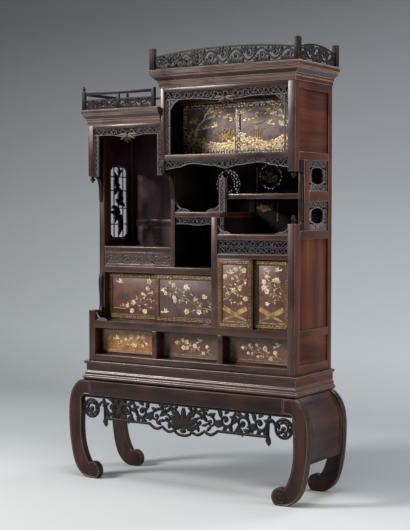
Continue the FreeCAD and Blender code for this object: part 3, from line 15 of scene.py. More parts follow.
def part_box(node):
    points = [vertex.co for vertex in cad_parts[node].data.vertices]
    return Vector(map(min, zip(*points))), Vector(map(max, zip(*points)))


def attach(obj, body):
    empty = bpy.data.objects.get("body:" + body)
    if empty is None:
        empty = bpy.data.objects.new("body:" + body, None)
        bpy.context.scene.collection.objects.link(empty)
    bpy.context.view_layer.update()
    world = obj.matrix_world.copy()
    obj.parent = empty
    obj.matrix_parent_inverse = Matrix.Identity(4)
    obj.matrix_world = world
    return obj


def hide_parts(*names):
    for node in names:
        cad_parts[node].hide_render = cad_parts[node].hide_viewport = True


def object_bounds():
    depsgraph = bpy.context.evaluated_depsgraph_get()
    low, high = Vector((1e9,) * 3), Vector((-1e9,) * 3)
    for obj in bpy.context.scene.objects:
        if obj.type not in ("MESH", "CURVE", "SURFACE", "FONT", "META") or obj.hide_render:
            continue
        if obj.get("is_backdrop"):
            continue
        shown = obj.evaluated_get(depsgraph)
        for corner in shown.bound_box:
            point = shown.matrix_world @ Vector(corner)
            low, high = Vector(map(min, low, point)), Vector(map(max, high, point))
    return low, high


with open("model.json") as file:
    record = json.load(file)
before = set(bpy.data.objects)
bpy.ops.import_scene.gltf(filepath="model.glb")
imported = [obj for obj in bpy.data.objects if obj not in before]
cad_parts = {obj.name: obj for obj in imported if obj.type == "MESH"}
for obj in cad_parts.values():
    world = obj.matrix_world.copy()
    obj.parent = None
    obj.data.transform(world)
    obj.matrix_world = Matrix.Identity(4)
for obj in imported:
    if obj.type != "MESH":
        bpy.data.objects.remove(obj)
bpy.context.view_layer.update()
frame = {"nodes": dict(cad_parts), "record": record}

MM = 0.001

# %% [markdown]
# The camera stands in front of the cabinet and to its right, a little above half its height, with a long
# lens. A long lens keeps the upright posts nearly parallel, which is how furniture is usually shown.

# %% Camera
def in_scene(name, data):
    """New object of this data, linked to the scene."""
    thing = bpy.data.objects.new(name, data)
    bpy.context.scene.collection.objects.link(thing)
    return thing


CAMERA_PLACE = Vector((3.3016, -5.1182, 1.3652))
CAMERA_TARGET = Vector((-0.0165, 0.0313, 1.0947))
LENS = 83.24

camera_data = bpy.data.cameras.new("camera")
camera_data.lens = LENS
camera = in_scene("camera", camera_data)
camera.location = CAMERA_PLACE
camera.rotation_euler = (CAMERA_TARGET - CAMERA_PLACE).to_track_quat("-Z", "Y").to_euler()
bpy.context.scene.camera = camera
print("camera", round((CAMERA_TARGET - CAMERA_PLACE).length, 2), "m from the middle")

# %% [markdown]
# Colours are written as sRGB hex values, as they are read off a screen. A shader works with linear light,
# so one function turns each value. Other small functions add a node, a noise, a ramp or a relief.

# %% Colour and node helpers
def linear(code):
    """Linear colour, with alpha, of an sRGB hex value."""
    values = [int(code[index:index + 2], 16) / 255 for index in (1, 3, 5)]
    return (*[v / 12.92 if v <= 0.04045 else ((v + 0.055) / 1.055) ** 2.4 for v in values], 1.0)


def add(tree, kind, sockets=None, stops=None, **settings):
    """Adds a node. A socket takes a value or another node's output; stops fill a colour ramp."""
    node = tree.nodes.new(kind)
    for name, value in settings.items():
        setattr(node, name, value)
    wire(tree, node, sockets or {})
    for index, (position, colour) in enumerate(stops or []):
        marks = node.color_ramp.elements
        mark = marks[index] if index < 2 else marks.new(position)
        mark.position = position
        mark.color = linear(colour)
    return node


def wire(tree, node, sockets):
    """Gives each socket a value, or a link from another node's output."""
    for name, value in sockets.items():
        if isinstance(value, bpy.types.NodeSocket):
            tree.links.new(value, node.inputs[name])
        else:
            node.inputs[name].default_value = value


def noise(tree, place, size, detail=2.0, **more):
    """Cloudy value whose patches have the given real size."""
    sockets = {"Vector": place, "Scale": 1 / size, "Detail": detail, **more}
    return add(tree, "ShaderNodeTexNoise", sockets).outputs["Fac"]


def tones(tree, value, stops):
    """Colour of a value on a ramp."""
    return add(tree, "ShaderNodeValToRGB", {"Fac": value}, stops).outputs["Color"]


def relief(tree, height, strength, depth):
    """Normal of a shallow relief."""
    return add(tree, "ShaderNodeBump", {"Height": height, "Strength": strength, "Distance": depth}).outputs[0]


def new_material(name):
    """Material, its nodes, its shader and the object's coordinates."""
    material = bpy.data.materials.new(name)
    material.use_nodes = True
    tree = material.node_tree
    return material, tree, tree.nodes["Principled BSDF"], add(tree, "ShaderNodeTexCoord").outputs["Object"]


print("white is", linear("#ffffff"))

# %% [markdown]
# Rosewood is dense and dark. Under wax its surface is smooth and shows long bands of red-brown and near
# black along the board, with fine pores that catch no light. The same recipe serves every wood here: it is
# stretched along the board, and only the colours, the polish and the depth of the pores change.

# %% Waxed rosewood
BAND = 14 * MM
PORE = 1.6 * MM  # real pores are about 0.3 mm wide, too fine to show
CLOUD = 160 * MM
RUBBED = 70 * MM
STRETCH = 0.055
GLEAM = 0.42
GRAINS = {"level": (STRETCH, 1, 1), "deep": (1, STRETCH, 1), "upright": (1, 1, STRETCH)}


def waxed_wood(name, dark, middle, light, grain, polish, pores, worn, gleam):
    """Waxed wood with its bands along one direction; worn is the warm tone of rubbed patches."""
    material, tree, shader, place = new_material(name)
    along = add(tree, "ShaderNodeMapping", {"Vector": place, "Scale": GRAINS[grain]}).outputs["Vector"]
    bands = noise(tree, along, BAND, 5.0, Roughness=0.62, Distortion=0.6)
    clouds = noise(tree, place, CLOUD)
    mixed = add(tree, "ShaderNodeMath", {0: bands, 1: clouds}, operation="ADD").outputs[0]
    halved = add(tree, "ShaderNodeMath", {0: mixed, 1: 0.5}, operation="MULTIPLY").outputs[0]
    colour = tones(tree, halved, [(0.34, dark), (0.66, light), (0.5, middle)])
    if worn:
        share = add(tree, "ShaderNodeMapRange", {"Value": noise(tree, along, RUBBED, 3.0), "From Min": 0.5,
                                                 "From Max": 0.75, "To Max": 0.7}).outputs[0]
        colour = add(tree, "ShaderNodeMixRGB", {"Fac": share, "Color1": colour,
                                                "Color2": linear(worn)}).outputs["Color"]
    gloss = add(tree, "ShaderNodeMapRange", {"Value": clouds, "From Min": 0.3, "From Max": 0.7,
                                             "To Min": polish - 0.06, "To Max": polish + 0.1}).outputs[0]
    wire(tree, shader, {"Base Color": colour, "Roughness": gloss, "Specular IOR Level": gleam, "IOR": 1.5,
                        "Normal": relief(tree, noise(tree, along, PORE), pores, 0.6 * MM)})
    return material


def wood_set(name, dark, middle, light, edge, polish, pores=0.25, worn=None, gleam=GLEAM):
    """One wood in three directions, and a paler edge wood: rubbed wear and a painted highlight."""
    finishes = {grain: waxed_wood(f"{name}_{grain}", dark, middle, light, grain, polish, pores, worn, gleam)
                for grain in GRAINS}
    # the edge wood is paler: partly rubbed wear, partly a painted highlight along the rounded edges
    finishes["edge"] = waxed_wood(name + "_edge", middle, edge, light, "level", polish - 0.04, pores, None,
                                  GLEAM)
    return finishes


case_wood = wood_set("waxed_rosewood", "#1c100e", "#2f1d1a", "#46302a", "#5d443c", 0.3, worn="#53342a")
moulding_wood = wood_set("polished_rosewood_moulding", "#2a1b18", "#34231f", "#402c26", "#85706a", 0.26, 0.0,
                         worn="#5a3f33")
plinth_wood = wood_set("dark_rosewood_moulding", "#1d1210", "#291a16", "#36241e", "#5f4c43", 0.3, 0.0,
                       worn="#4c352c", gleam=0.36)
stand_wood = wood_set("old_waxed_rosewood", "#140a09", "#241311", "#38211b", "#5a443c", 0.38,
                      worn="#47281e", gleam=0.25)
panel_wood = wood_set("red_rosewood_panel", "#260f08", "#431e12", "#5c2f1c", "#553420", 0.42,
                      worn="#6c3a22", gleam=0.16)
# paler, warmer copy of the wood for faces that look sideways: painted side light
flank_wood = wood_set("sunlit_rosewood", "#2a140d", "#422014", "#573022", "#5c3a2c", 0.38,
                      worn="#5f361f", gleam=0.22)
inside_wood = wood_set("plum_stained_board", "#1e0d16", "#361b28", "#4f2c3a", "#40242f", 0.55)
black_wood = wood_set("black_board_and_niche_shade", "#0a0606", "#140e0e", "#221818", "#383030", 0.42, gleam=0.12)
door_wood = wood_set("inlaid_door_board", "#25140f", "#3f2519", "#583a28", "#6b4b34", 0.34)
drawer_wood = wood_set("plain_drawer_board", "#4a3222", "#6b4b33", "#846043", "#7a583d", 0.6)
print(len(bpy.data.materials), "wood finishes")

# %% [markdown]
# The carved work is the same wood stained almost black. Its ridges are painted lighter than its hollows, a
# painted highlight. The pointiness of the mesh tells ridges from hollows.

# %% Carved wood, inlay and gold lacquer
def carved_wood(name, hollow, ridge_highlight, polish, gleam):
    material, tree, shader, place = new_material(name)
    shape = add(tree, "ShaderNodeNewGeometry").outputs["Pointiness"]
    tinted = add(tree, "ShaderNodeMapRange", {"Value": noise(tree, place, 9 * MM, 4.0), "To Min": -0.06,
                                              "To Max": 0.06}).outputs[0]
    height = add(tree, "ShaderNodeMath", {0: shape, 1: tinted}, operation="ADD").outputs[0]
    # painted highlight: the ridges get the lighter colour, the hollows keep the near-black stain
    wire(tree, shader, {"Base Color": tones(tree, height, [(0.47, hollow), (0.62, ridge_highlight)]),
                        "Normal": relief(tree, noise(tree, place, 3 * MM), 0.35, 0.8 * MM),
                        "Roughness": polish, "Specular IOR Level": gleam})
    return material


def inlay_material(name, deep, pale, polish, size, metal=0.0):
    """Thin inlay whose tone drifts from piece to piece over the given size."""
    material, tree, shader, place = new_material(name)
    drift = noise(tree, place, size, 4.0, Roughness=0.6)
    wire(tree, shader, {"Base Color": tones(tree, drift, [(0.36, deep), (0.62, pale)]),
                        "Normal": relief(tree, noise(tree, place, 2 * MM), 0.2, 0.5 * MM),
                        "Roughness": polish, "Metallic": metal})
    return material


black_carving = carved_wood("black_stained_carving", "#050303", "#221d1f", 0.46, 0.2)
grey_carving = carved_wood("black_carving_painted_ridge_highlight", "#050303", "#857c80", 0.25, 0.6)
brown_carving = carved_wood("brown_carving", "#120c0b", "#473937", 0.4, 0.3)


def lacquer(name, dark, light, polish, size=45 * MM):
    """Thick lacquer ground: soft clouds of tone under a smooth coat."""
    material, tree, shader, place = new_material(name)
    clouds = noise(tree, place, size, 5.0, Roughness=0.6)
    wire(tree, shader, {"Base Color": tones(tree, clouds, [(0.36, dark), (0.64, light)]),
                        "Normal": relief(tree, noise(tree, place, 1.5 * MM, 1.0), 0.15, 0.4 * MM),
                        "Roughness": polish, "Coat Weight": 0.2, "Coat Roughness": polish - 0.1})
    return material


ochre_ground = lacquer("ochre_lacquer_ground", "#6c421f", "#9a6834", 0.36)
brown_ground = lacquer("brown_lacquer_ground", "#3c2317", "#5f3b29", 0.42)
red_ground = lacquer("red_brown_lacquer_ground", "#3c2118", "#603828", 0.42)
umber_ground = lacquer("umber_ground", "#1a1112", "#34262a", 0.36)
plum_ground = lacquer("plum_lacquer_ground", "#392826", "#584340", 0.44)
ash_ground = lacquer("ash_plum_lacquer_ground", "#4e3c3c", "#7c6768", 0.55, 30 * MM)
bone = inlay_material("bone_inlay", "#917e60", "#ddd0b4", 0.38, 18 * MM)
horn = inlay_material("stained_horn_inlay", "#6d5434", "#b09468", 0.4, 16 * MM)
pale_gold = inlay_material("worn_gold_border", "#5e4526", "#c4a468", 0.42, 9 * MM)
gold = inlay_material("gold_lacquer", "#80591f", "#e6c064", 0.36, 26 * MM, 0.25)
old_gold = inlay_material("rubbed_gold_lacquer", "#3a2a1d", "#8f7145", 0.45, 11 * MM, 0.15)
bright_gold = inlay_material("bright_gold_lacquer", "#94774a", "#efdba8", 0.34, 18 * MM, 0.15)
dull_gold = inlay_material("dull_gold_lacquer", "#6d5229", "#b08d50", 0.42, 30 * MM, 0.1)
cream_gold = inlay_material("cream_gold_lacquer", "#6f6048", "#e9dfc2", 0.34, 12 * MM, 0.1)
print("inlay and carving finishes ready")

# %% [markdown]
# A board never has a knife-sharp edge: the plane and years of wax round it, and that thin round is what
# catches the light. So each board of the solid model is copied, its loose triangles are merged into flat
# faces, and its edges are bevelled. The grain follows the longest side of the board, as a joiner cuts it.

# %% Copies of the solid boards
def select_only(*pieces):
    bpy.ops.object.select_all(action="DESELECT")
    for piece in pieces:
        piece.select_set(True)
    bpy.context.view_layer.objects.active = pieces[0]


def solids_of(node):
    """Closed shells of a node, each as the list of its triangles' corners."""
    mesh = frame["nodes"][node].data
    shells, triangles, loose = [], [], set()
    for face in mesh.polygons:
        corners = [tuple(round(value, 6) for value in mesh.vertices[index].co) for index in face.vertices]
        triangles.append(corners)
        for start, end in zip(corners, corners[1:] + corners[:1]):
            if (end, start) in loose:
                loose.remove((end, start))
            elif start != end:
                loose.add((start, end))
        if not loose:
            shells.append(triangles)
            triangles = []
    return shells


def box_of(triangles):
    corners = [corner for triangle in triangles for corner in triangle]
    return (Vector([min(c[axis] for c in corners) for axis in range(3)]),
            Vector([max(c[axis] for c in corners) for axis in range(3)]))


def boxes_of(node):
    return [box_of(triangles) for triangles in solids_of(node)]


def board_from(name, triangles):
    """One board as a merged mesh with flat faces."""
    places = sorted({corner for triangle in triangles for corner in triangle})
    number = {place: index for index, place in enumerate(places)}
    mesh = bpy.data.meshes.new(name)
    mesh.from_pydata(places, [], [[number[corner] for corner in triangle] for triangle in triangles])
    board = in_scene(name, mesh)
    select_only(board)
    bpy.ops.object.mode_set(mode="EDIT")
    bpy.ops.mesh.select_all(action="SELECT")
    bpy.ops.mesh.dissolve_limited(angle_limit=math.radians(1))
    bpy.ops.object.mode_set(mode="OBJECT")
    return board


def round_edges(piece, width, segments=2, angle=28, finish=0):
    """Bevels the sharp edges; the new faces get the material of this number."""
    select_only(piece)
    bevel = piece.modifiers.new("edges", "BEVEL")
    bevel.width = width * MM
    bevel.segments = segments
    bevel.limit_method = "ANGLE"
    bevel.angle_limit = math.radians(angle)
    bevel.material = finish
    bpy.ops.object.modifier_apply(modifier=bevel.name)


def join_as(name, pieces):
    select_only(*pieces)
    if len(pieces) > 1:
        bpy.ops.object.join()
    piece = bpy.context.view_layer.objects.active
    piece.name = name
    piece.data.name = name
    return piece


BODY_OF = {node: body for body, nodes in frame["record"]["behaviour"]["bodies"].items() for node in nodes}


def settle(piece, node, angle=40, stands_for=True):
    """Smooths a finished piece and lets it ride with its node's body."""
    select_only(piece)
    bpy.ops.object.shade_smooth_by_angle(angle=math.radians(angle))
    if stands_for:
        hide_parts(node)
    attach(piece, BODY_OF[node])
    return piece


print(sum(len(solids_of(node)) for node in frame["nodes"]), "closed boards in the solid model")

# %% [markdown]
# A moulding runs round three sides and is mitred at the corners, so its grain turns with it. Faces that look
# sideways get a paler, warmer copy of the wood: painted light from the side.
# The legs have a bead along their edges: the front face is inset and the field inside is sunk a little.

# %% Dress the boards
AXES = ("level", "deep", "upright")


def pick_faces(piece, test):
    """Selects the faces that pass the test, and stays in edit mode."""
    bpy.ops.object.mode_set(mode="EDIT")
    bpy.ops.mesh.select_mode(type="FACE")
    bpy.ops.mesh.select_all(action="DESELECT")
    bpy.ops.object.mode_set(mode="OBJECT")
    for face in piece.data.polygons:
        face.select = test(face)
    bpy.ops.object.mode_set(mode="EDIT")


def sink_field(board, wide, depth):
    """Sinks the front face inside a flat rim, which then stands up as a bead."""
    select_only(board)
    pick_faces(board, lambda face: face.normal.y < -0.98)
    bpy.ops.mesh.inset(thickness=wide * MM, depth=0)
    bpy.ops.mesh.inset(thickness=depth * MM, depth=-depth * MM)
    bpy.ops.mesh.select_mode(type="VERT")
    bpy.ops.object.mode_set(mode="OBJECT")


def dress(node, woods, edge=1.2, segments=2, mitred=False, flank=None, field=None, bead=0.0):
    """Bevelled copy of a node's boards, with the grain along each board.

    Side faces take the flank wood and sunk front faces the field finish. A bead is its width in mm.
    """
    boards = []
    for index, triangles in enumerate(solids_of(node)):
        board = board_from(f"{node}_{index}", triangles)
        low, high = box_of(triangles)
        sides = list(high - low)
        along = AXES[sides.index(max(sides))]
        flank_finish = (flank or woods)["deep" if mitred else along]
        for finish in (woods[along], woods["edge"], flank_finish, field or woods[along]):
            board.data.materials.append(finish)
        if bead:
            sink_field(board, bead, 1.8)
        # the bevels take the edge finish, which paints part of the highlight on the edges
        round_edges(board, min(edge, min(sides) / MM / 4), segments, finish=1)
        # faces that look sideways take the flank finish; flank_wood is a paler copy that paints side light
        for face in board.data.polygons:
            if abs(face.normal.x) > 0.72 and face.material_index == 0:
                face.material_index = 2
            elif field and face.normal.y < -0.9 and face.center.y > low.y + 1.5 * MM:
                face.material_index = 3
        boards.append(board)
    piece = settle(join_as(node + "_dressed", boards), node)
    if mitred:  # the broad faces rule the shading, or long thin ones streak at the mitres
        bpy.ops.object.modifier_add(type="WEIGHTED_NORMAL")
        piece.modifiers[-1].keep_sharp = True
        bpy.ops.object.modifier_apply(modifier=piece.modifiers[-1].name)
    return piece


for node in ("left_side_frame", "right_side_frame"):
    dress(node, case_wood, 2.0, 3, flank=flank_wood)
for node in ("bottom_board", "sill_board", "row_two_head", "left_shelf", "niche_floors", "right_niche_shelf",
             "upper_box_floor", "door_head_rails"):
    dress(node, case_wood, 4.5, 4)
dress("drawer_dividers", case_wood, 2.0)
dress("top_boards", case_wood, 1.5)
for node in ("left_gallery", "right_gallery_posts", "wing_boards"):
    dress(node, black_wood, 1.8)
for node, wood in (("plinth_moulding", plinth_wood), ("left_cornice", moulding_wood),
                   ("right_cornice", moulding_wood)):
    dress(node, wood, 3.0, 3, mitred=True, flank=flank_wood)
dress("right_side_panels", panel_wood, 0.8)


def refinish_faces(piece, finish, test):
    """Gives another finish to the faces that pass the test."""
    piece.data.materials.append(finish)
    last = len(piece.data.materials) - 1
    for face in piece.data.polygons:
        if test(face):
            face.material_index = last


# In the open niches right of the left partition, the back, the back frame and the partition walls behind
# NICHE_FRONT get near-black wood: painted shade deep in the niches.
niche_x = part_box("left_partition")[0].x
NICHE_FRONT = -125 * MM  # behind this the partitions are walls of the niches
refinish_faces(dress("left_side_panels", panel_wood, 0.8), inside_wood["upright"], lambda face: face.normal.x > 0.7)
back = dress("back_panels", inside_wood, 0.8)
refinish_faces(back, black_wood["upright"], lambda face: face.center.x > niche_x)
refinish_faces(back, stand_wood["upright"], lambda face: face.normal.y > 0.7)
refinish_faces(dress("back_frame", case_wood, 2.0), black_wood["upright"],
      lambda face: face.center.x > niche_x and face.normal.y < 0.7)
refinish_faces(dress("left_partition", case_wood, 1.5), black_wood["upright"],
      lambda face: face.normal.x > 0.7 and face.center.y > NICHE_FRONT)
refinish_faces(dress("middle_partition", case_wood, 2.0), black_wood["upright"],
      lambda face: abs(face.normal.x) > 0.7 and face.center.y > NICHE_FRONT)
for node in ("stand_aprons", "stand_top_board", "stand_side_panel"):
    dress(node, stand_wood, 2.5)
for node in ("stand_front_legs", "stand_rear_legs"):
    dress(node, stand_wood, 1.6, 2, bead=6.0 if node == "stand_front_legs" else 0.0)
DOOR_GROUND = {"upper_left_door": ash_ground, "upper_right_door": ash_ground, "row_two_left_door": red_ground,
               "row_two_right_door": plum_ground, "tall_left_door": brown_ground,
               "tall_right_door": brown_ground}
for door, ground in DOOR_GROUND.items():
    dress(door + "_frame", door_wood, 1.2)
    dress(door + "_panel", {**door_wood, "upright": ground, "level": ground}, 0.8)
DRAWER_GROUND = {"left": ochre_ground, "middle": brown_ground, "right": brown_ground, "small": umber_ground}
for name, ground in DRAWER_GROUND.items():
    dress(f"{name}_drawer_front", door_wood, 1.0, field=ground)
    dress(f"{name}_drawer_box", drawer_wood, 0.8)
print("boards dressed")

# %% [markdown]
# Carved openwork is drawn as a running scroll. A stem waves along the band, and in each half wave a shoot
# curls in on itself like a fern. Leaves fill the corners and touch the rims, because a pierced piece breaks
# where nothing joins. The drawing is a list of stems and marks, in a flat plane, so one set of rules fills
# every band, however high or long.

# %% Draw scrolls
def mark(kind, a, b, long, wide, turn):
    """One leaf, bud or petal of a drawing: its middle, its size and its turn in degrees."""
    return kind, a, b, long, wide, turn


def toward(a, b, turn, reach):
    angle = math.radians(turn)
    return a + reach * math.cos(angle), b + reach * math.sin(angle)


def curl(a, b, radius, first, way, thick, turns=1.45, steps=22):
    """Shoot that winds in to its middle; way is 1 for anticlockwise."""
    points = []
    for step in range(steps):
        share = step / (steps - 1)
        reach = radius * (1 - 0.80 * share ** 0.85)
        points.append((*toward(a, b, first + way * 360 * turns * share, reach), thick * (1 - 0.4 * share)))
    return points


def rim(a0, a1, level, thick, steps=24):
    """Edge that follows a level along the band."""
    places = [a0 + (a1 - a0) * step / steps for step in range(steps + 1)]
    return [(a, level(a), thick) for a in places]


def wave_line(a0, step, count, parts, low, high, swing, thick):
    """Stem that waves along a band, with so many parts to each half wave."""
    line = []
    for index in range(parts * count + 1):
        a = a0 + step * index / parts
        middle, tall = (low(a) + high(a)) / 2, high(a) - low(a)
        line.append((a, middle + swing * tall * math.sin(math.pi * index / parts), thick))
    return line


def open_scroll(a0, a1, low, high, pitch, thick, chance):
    """Lighter scroll for narrow bands: a wave with one open curl and two leaves in each half."""
    count = max(1, round((a1 - a0) / pitch))
    step = (a1 - a0) / count
    stems, marks = [wave_line(a0, step, count, 6, low, high, 0.36, 0.9 * thick)], []
    for index in range(count):
        side = 1 if index % 2 == 0 else -1
        a = a0 + step * (index + 0.5 + chance.uniform(-0.08, 0.12))
        middle, tall = (low(a) + high(a)) / 2, high(a) - low(a)
        radius = min(0.32 * tall, 0.40 * step) * chance.uniform(0.85, 1.15)
        heart = (a, middle - side * 0.09 * tall)
        stems.append(curl(*heart, radius, 180 + chance.uniform(-30, 30), side, 0.75 * thick, 0.85, 12))
        for lean in (-50, 195):
            turn = side * (lean + chance.uniform(-20, 20))
            marks.append(mark("leaf", *toward(*heart, turn, 1.3 * radius), 0.8 * radius, 0.32 * radius,
                              turn + side * chance.uniform(10, 50)))
    return stems, marks


def running_scroll(a0, a1, low, high, pitch, thick, chance, first=1):
    """Full scroll: a wave, and in each half a tight curl with a bud and a ring of leaves."""
    count = max(1, round((a1 - a0) / pitch))
    step = (a1 - a0) / count
    stems, marks = [wave_line(a0, step, count, 10, low, high, first * 0.35, thick)], []
    for index in range(count):
        side = first if index % 2 == 0 else -first
        a = a0 + step * (index + 0.5)
        middle, tall = (low(a) + high(a)) / 2, high(a) - low(a)
        radius = min(0.33 * tall, 0.36 * step)
        heart = (a + 0.04 * step, middle - side * 0.07 * tall)
        stems.append(curl(*heart, radius, 180, side, 0.85 * thick))
        marks.append(mark("bud", *heart, 0.5 * radius, 0.5 * radius, 0))
        for turn, reach, long in ((205, 1.25, 0.9), (236, 1.42, 0.8), (262, 1.4, 0.95), (292, 1.45, 0.8),
                                  (318, 1.3, 0.95), (15, 1.1, 0.8)):
            turn = side * (turn + chance.uniform(-8, 8))
            place = toward(*heart, turn, reach * radius)
            marks.append(mark("leaf", *place, long * radius, 0.40 * radius,
                              turn + side * chance.uniform(10, 40)))
        a_end = a + step / 2
        tall_end = high(a_end) - low(a_end)
        middle_end = (low(a_end) + high(a_end)) / 2
        for way in (1, -1):
            if a_end < a1 - 0.3 * step:
                place = (a_end, middle_end + way * 0.34 * tall_end)
                marks.append(mark("leaf", *place, 0.34 * tall_end, 0.20 * tall_end, way * (90 + side * 18)))
    return stems, marks


print("a curl has", len(curl(0, 0, 1, 0, 1, 1)), "points")

# %% [markdown]
# A leaf, a bud and a petal are each shaped once, one unit long. The leaf starts as a short eight-sided
# drum: its sides are drawn in, its ends are pulled to points and its middle is raised to a rib.

# %% Shape the leaf, the bud and the petal
def pick(piece, test):
    """Selects the points whose place passes the test, and stays in edit mode."""
    bpy.ops.object.mode_set(mode="EDIT")
    bpy.ops.mesh.select_mode(type="VERT")
    bpy.ops.mesh.select_all(action="DESELECT")
    bpy.ops.object.mode_set(mode="OBJECT")
    for vertex in piece.data.vertices:
        vertex.select = test(vertex.co)
    bpy.ops.object.mode_set(mode="EDIT")


def drum(name, corners):
    bpy.ops.object.select_all(action="DESELECT")
    bpy.ops.mesh.primitive_cylinder_add(vertices=corners, radius=0.5, depth=1, end_fill_type="TRIFAN")
    piece = bpy.context.object
    piece.name = name
    return piece


def make_leaf():
    leaf = drum("leaf", 8)
    pick(leaf, lambda place: abs(place.x) > 0.45)
    bpy.ops.transform.resize(value=(1.25, 1, 1))
    pick(leaf, lambda place: place.x > 0.2)
    bpy.ops.transform.translate(value=(0, 0.16, 0))
    pick(leaf, lambda place: place.z > 0.4 and place.length > 0.6)
    bpy.ops.transform.translate(value=(0, 0, -0.35))
    bpy.ops.object.mode_set(mode="OBJECT")
    return leaf


def make_bud():
    bpy.ops.object.select_all(action="DESELECT")
    bpy.ops.mesh.primitive_uv_sphere_add(segments=8, ring_count=5, radius=0.5)
    bud = bpy.context.object
    bud.name = "bud"
    return bud


def make_petal():
    petal = drum("petal", 10)
    pick(petal, lambda place: place.x < -0.3)
    bpy.ops.transform.resize(value=(1, 0.45, 1))
    pick(petal, lambda place: place.z > 0.4 and place.length > 0.6)
    bpy.ops.transform.translate(value=(0, 0, -0.45))
    bpy.ops.object.mode_set(mode="OBJECT")
    return petal


SHAPES = {"leaf": make_leaf(), "bud": make_bud(), "petal": make_petal()}
print({name: len(shape.data.polygons) for name, shape in SHAPES.items()})

# %% [markdown]
# A drawing becomes solid in its plane: stems are round tubes that taper, marks are copies of the three
# shapes. Then everything is laid on the cabinet, flattened to the depth of its board, and joined.

# %% Carve a drawing
def facing(side, base):
    """Turns a drawing (along, up, out) to the cabinet; base is the plane of its back."""
    columns = {"front": ((1, 0, 0), (0, 0, 1), (0, -1, 0)), "strip": ((0, 0, 1), (1, 0, 0), (0, -1, 0)),
               "right": ((0, 1, 0), (0, 0, 1), (1, 0, 0)), "left": ((0, 1, 0), (0, 0, 1), (-1, 0, 0))}[side]
    turn = Matrix([[column[row] for column in columns] for row in range(3)]).to_4x4()
    depth = Vector(columns[2])
    return Matrix.Translation(Vector([abs(value) * base for value in depth])) @ turn


def tubes(name, stems, sides):
    curve = bpy.data.curves.new(name, "CURVE")
    curve.dimensions = "3D"
    curve.bevel_depth = 1.0
    curve.bevel_resolution = sides
    curve.use_fill_caps = True
    for points in stems:
        spline = curve.splines.new("POLY")
        spline.points.add(len(points) - 1)
        for point, (a, b, thick) in zip(spline.points, points):
            point.co = (a, b, 0, 1)
            point.radius = thick
    select_only(in_scene(name, curve))
    bpy.ops.object.convert(target="MESH")
    return bpy.context.object


def raised(name, stems, marks, side, base, thick, material, sides=1):
    """Solid of a drawing that reaches out by thick from its base plane."""
    pieces = []
    lay = facing(side, base) @ Matrix.Translation((0, 0, thick / 2))
    if stems:
        piece = tubes(name, stems, sides)
        widest = max(point[2] for stem in stems for point in stem)
        piece.data.transform(lay @ Matrix.Diagonal((1, 1, thick / (2 * widest), 1)))
        piece.data.materials.append(material)
        pieces.append(piece)
    for kind, a, b, long, wide, turn in marks:
        copy = in_scene(kind, SHAPES[kind].data.copy())
        spin = Matrix.Rotation(math.radians(turn), 4, "Z")
        size = Matrix.Diagonal((long, wide, thick, 1))
        copy.data.transform(lay @ Matrix.Translation((a, b, 0)) @ spin @ size)
        copy.data.materials.clear()
        copy.data.materials.append(material)
        pieces.append(copy)
    return join_as(name, pieces)


def carved(node, pieces, angle=50):
    """Joins the carvings that stand for a node and turns their faces outwards."""
    piece = join_as(node + "_carved", pieces)
    bpy.ops.object.mode_set(mode="EDIT")
    bpy.ops.mesh.select_all(action="SELECT")
    bpy.ops.mesh.normals_make_consistent(inside=False)
    bpy.ops.object.mode_set(mode="OBJECT")
    return settle(piece, node, angle)


def level(value):
    return lambda a: value


def upended(stems, marks):
    """The same drawing with its two directions exchanged."""
    return ([[(b, a, thick) for a, b, thick in stem] for stem in stems],
            [mark(kind, b, a, long, wide, 90 - turn) for kind, a, b, long, wide, turn in marks])


chance = random.Random(7)
print("ready to carve")

# %% [markdown]
# The gallery on the upper top is a row of three pierced boards with a bowed top edge. Each one is a
# running scroll between a straight foot and a bowed rim. The low gallery at the left has straight rims.

# %% Carve the galleries
def held_in(marks, low, high):
    """Moves the marks that would stick out of their band back inside it."""
    held = []
    for kind, a, b, long, wide, turn in marks:
        lean = math.radians(turn)
        reach = 0.5 * (long * abs(math.sin(lean)) + wide * abs(math.cos(lean)))
        held.append(mark(kind, a, min(max(b, low(a) + reach), high(a) - reach), long, wide, turn))
    return held


def leafy_scroll(*band):
    """Running scroll with broad leaves, for the boldest carving."""
    stems, marks = running_scroll(*band)
    return stems, [mark(kind, a, b, 1.2 * long, 1.35 * wide, turn) for kind, a, b, long, wide, turn in marks]


def panel_band(name, a0, a1, low, high, side, base, thick, pitch, stem, material, edge=3.2,
               pattern=running_scroll):
    """A scroll with a rim below and above."""
    stems, marks = pattern(a0, a1, lambda a: low(a) + edge * MM, lambda a: high(a) - edge * MM,
                           pitch * MM, stem * MM, chance)
    stems.append(rim(a0, a1, lambda a: low(a) + edge * MM, edge * MM))
    stems.append(rim(a0, a1, lambda a: high(a) - edge * MM, edge * MM))
    return raised(name, stems, held_in(marks, low, high), side, base, thick, material)


ARCH_RISE = 24 * MM


def bowed(a0, a1, end, rise):
    middle, half = (a0 + a1) / 2, (a1 - a0) / 2
    return lambda a: end + rise * (1 - ((a - middle) / half) ** 2)


gallery = []
for index, (low, high) in enumerate(boxes_of("gallery_openwork")):
    wide = high - low
    upper, across = wide.z > 60 * MM, wide.x > wide.y
    rise = ARCH_RISE if upper else 0
    a0, a1 = (low.x, high.x) if across else (low.y, high.y)
    side = "front" if across else "right" if low.x > 0.3 else "left"
    base = {"front": high.y, "right": low.x, "left": high.x}[side]
    pitch, stem = (34, 2.6) if not upper else (70, 5.2) if across else (74, 4.6)
    crown = bowed(a0, a1, high.z - rise, rise)
    gallery.append(panel_band(f"gallery_{index}", a0, a1, level(low.z), crown, side, base,
                              wide.y if across else wide.x, pitch, stem, black_carving, 4.0, leafy_scroll))
carved("gallery_openwork", gallery)
print(len(gallery), "gallery boards")

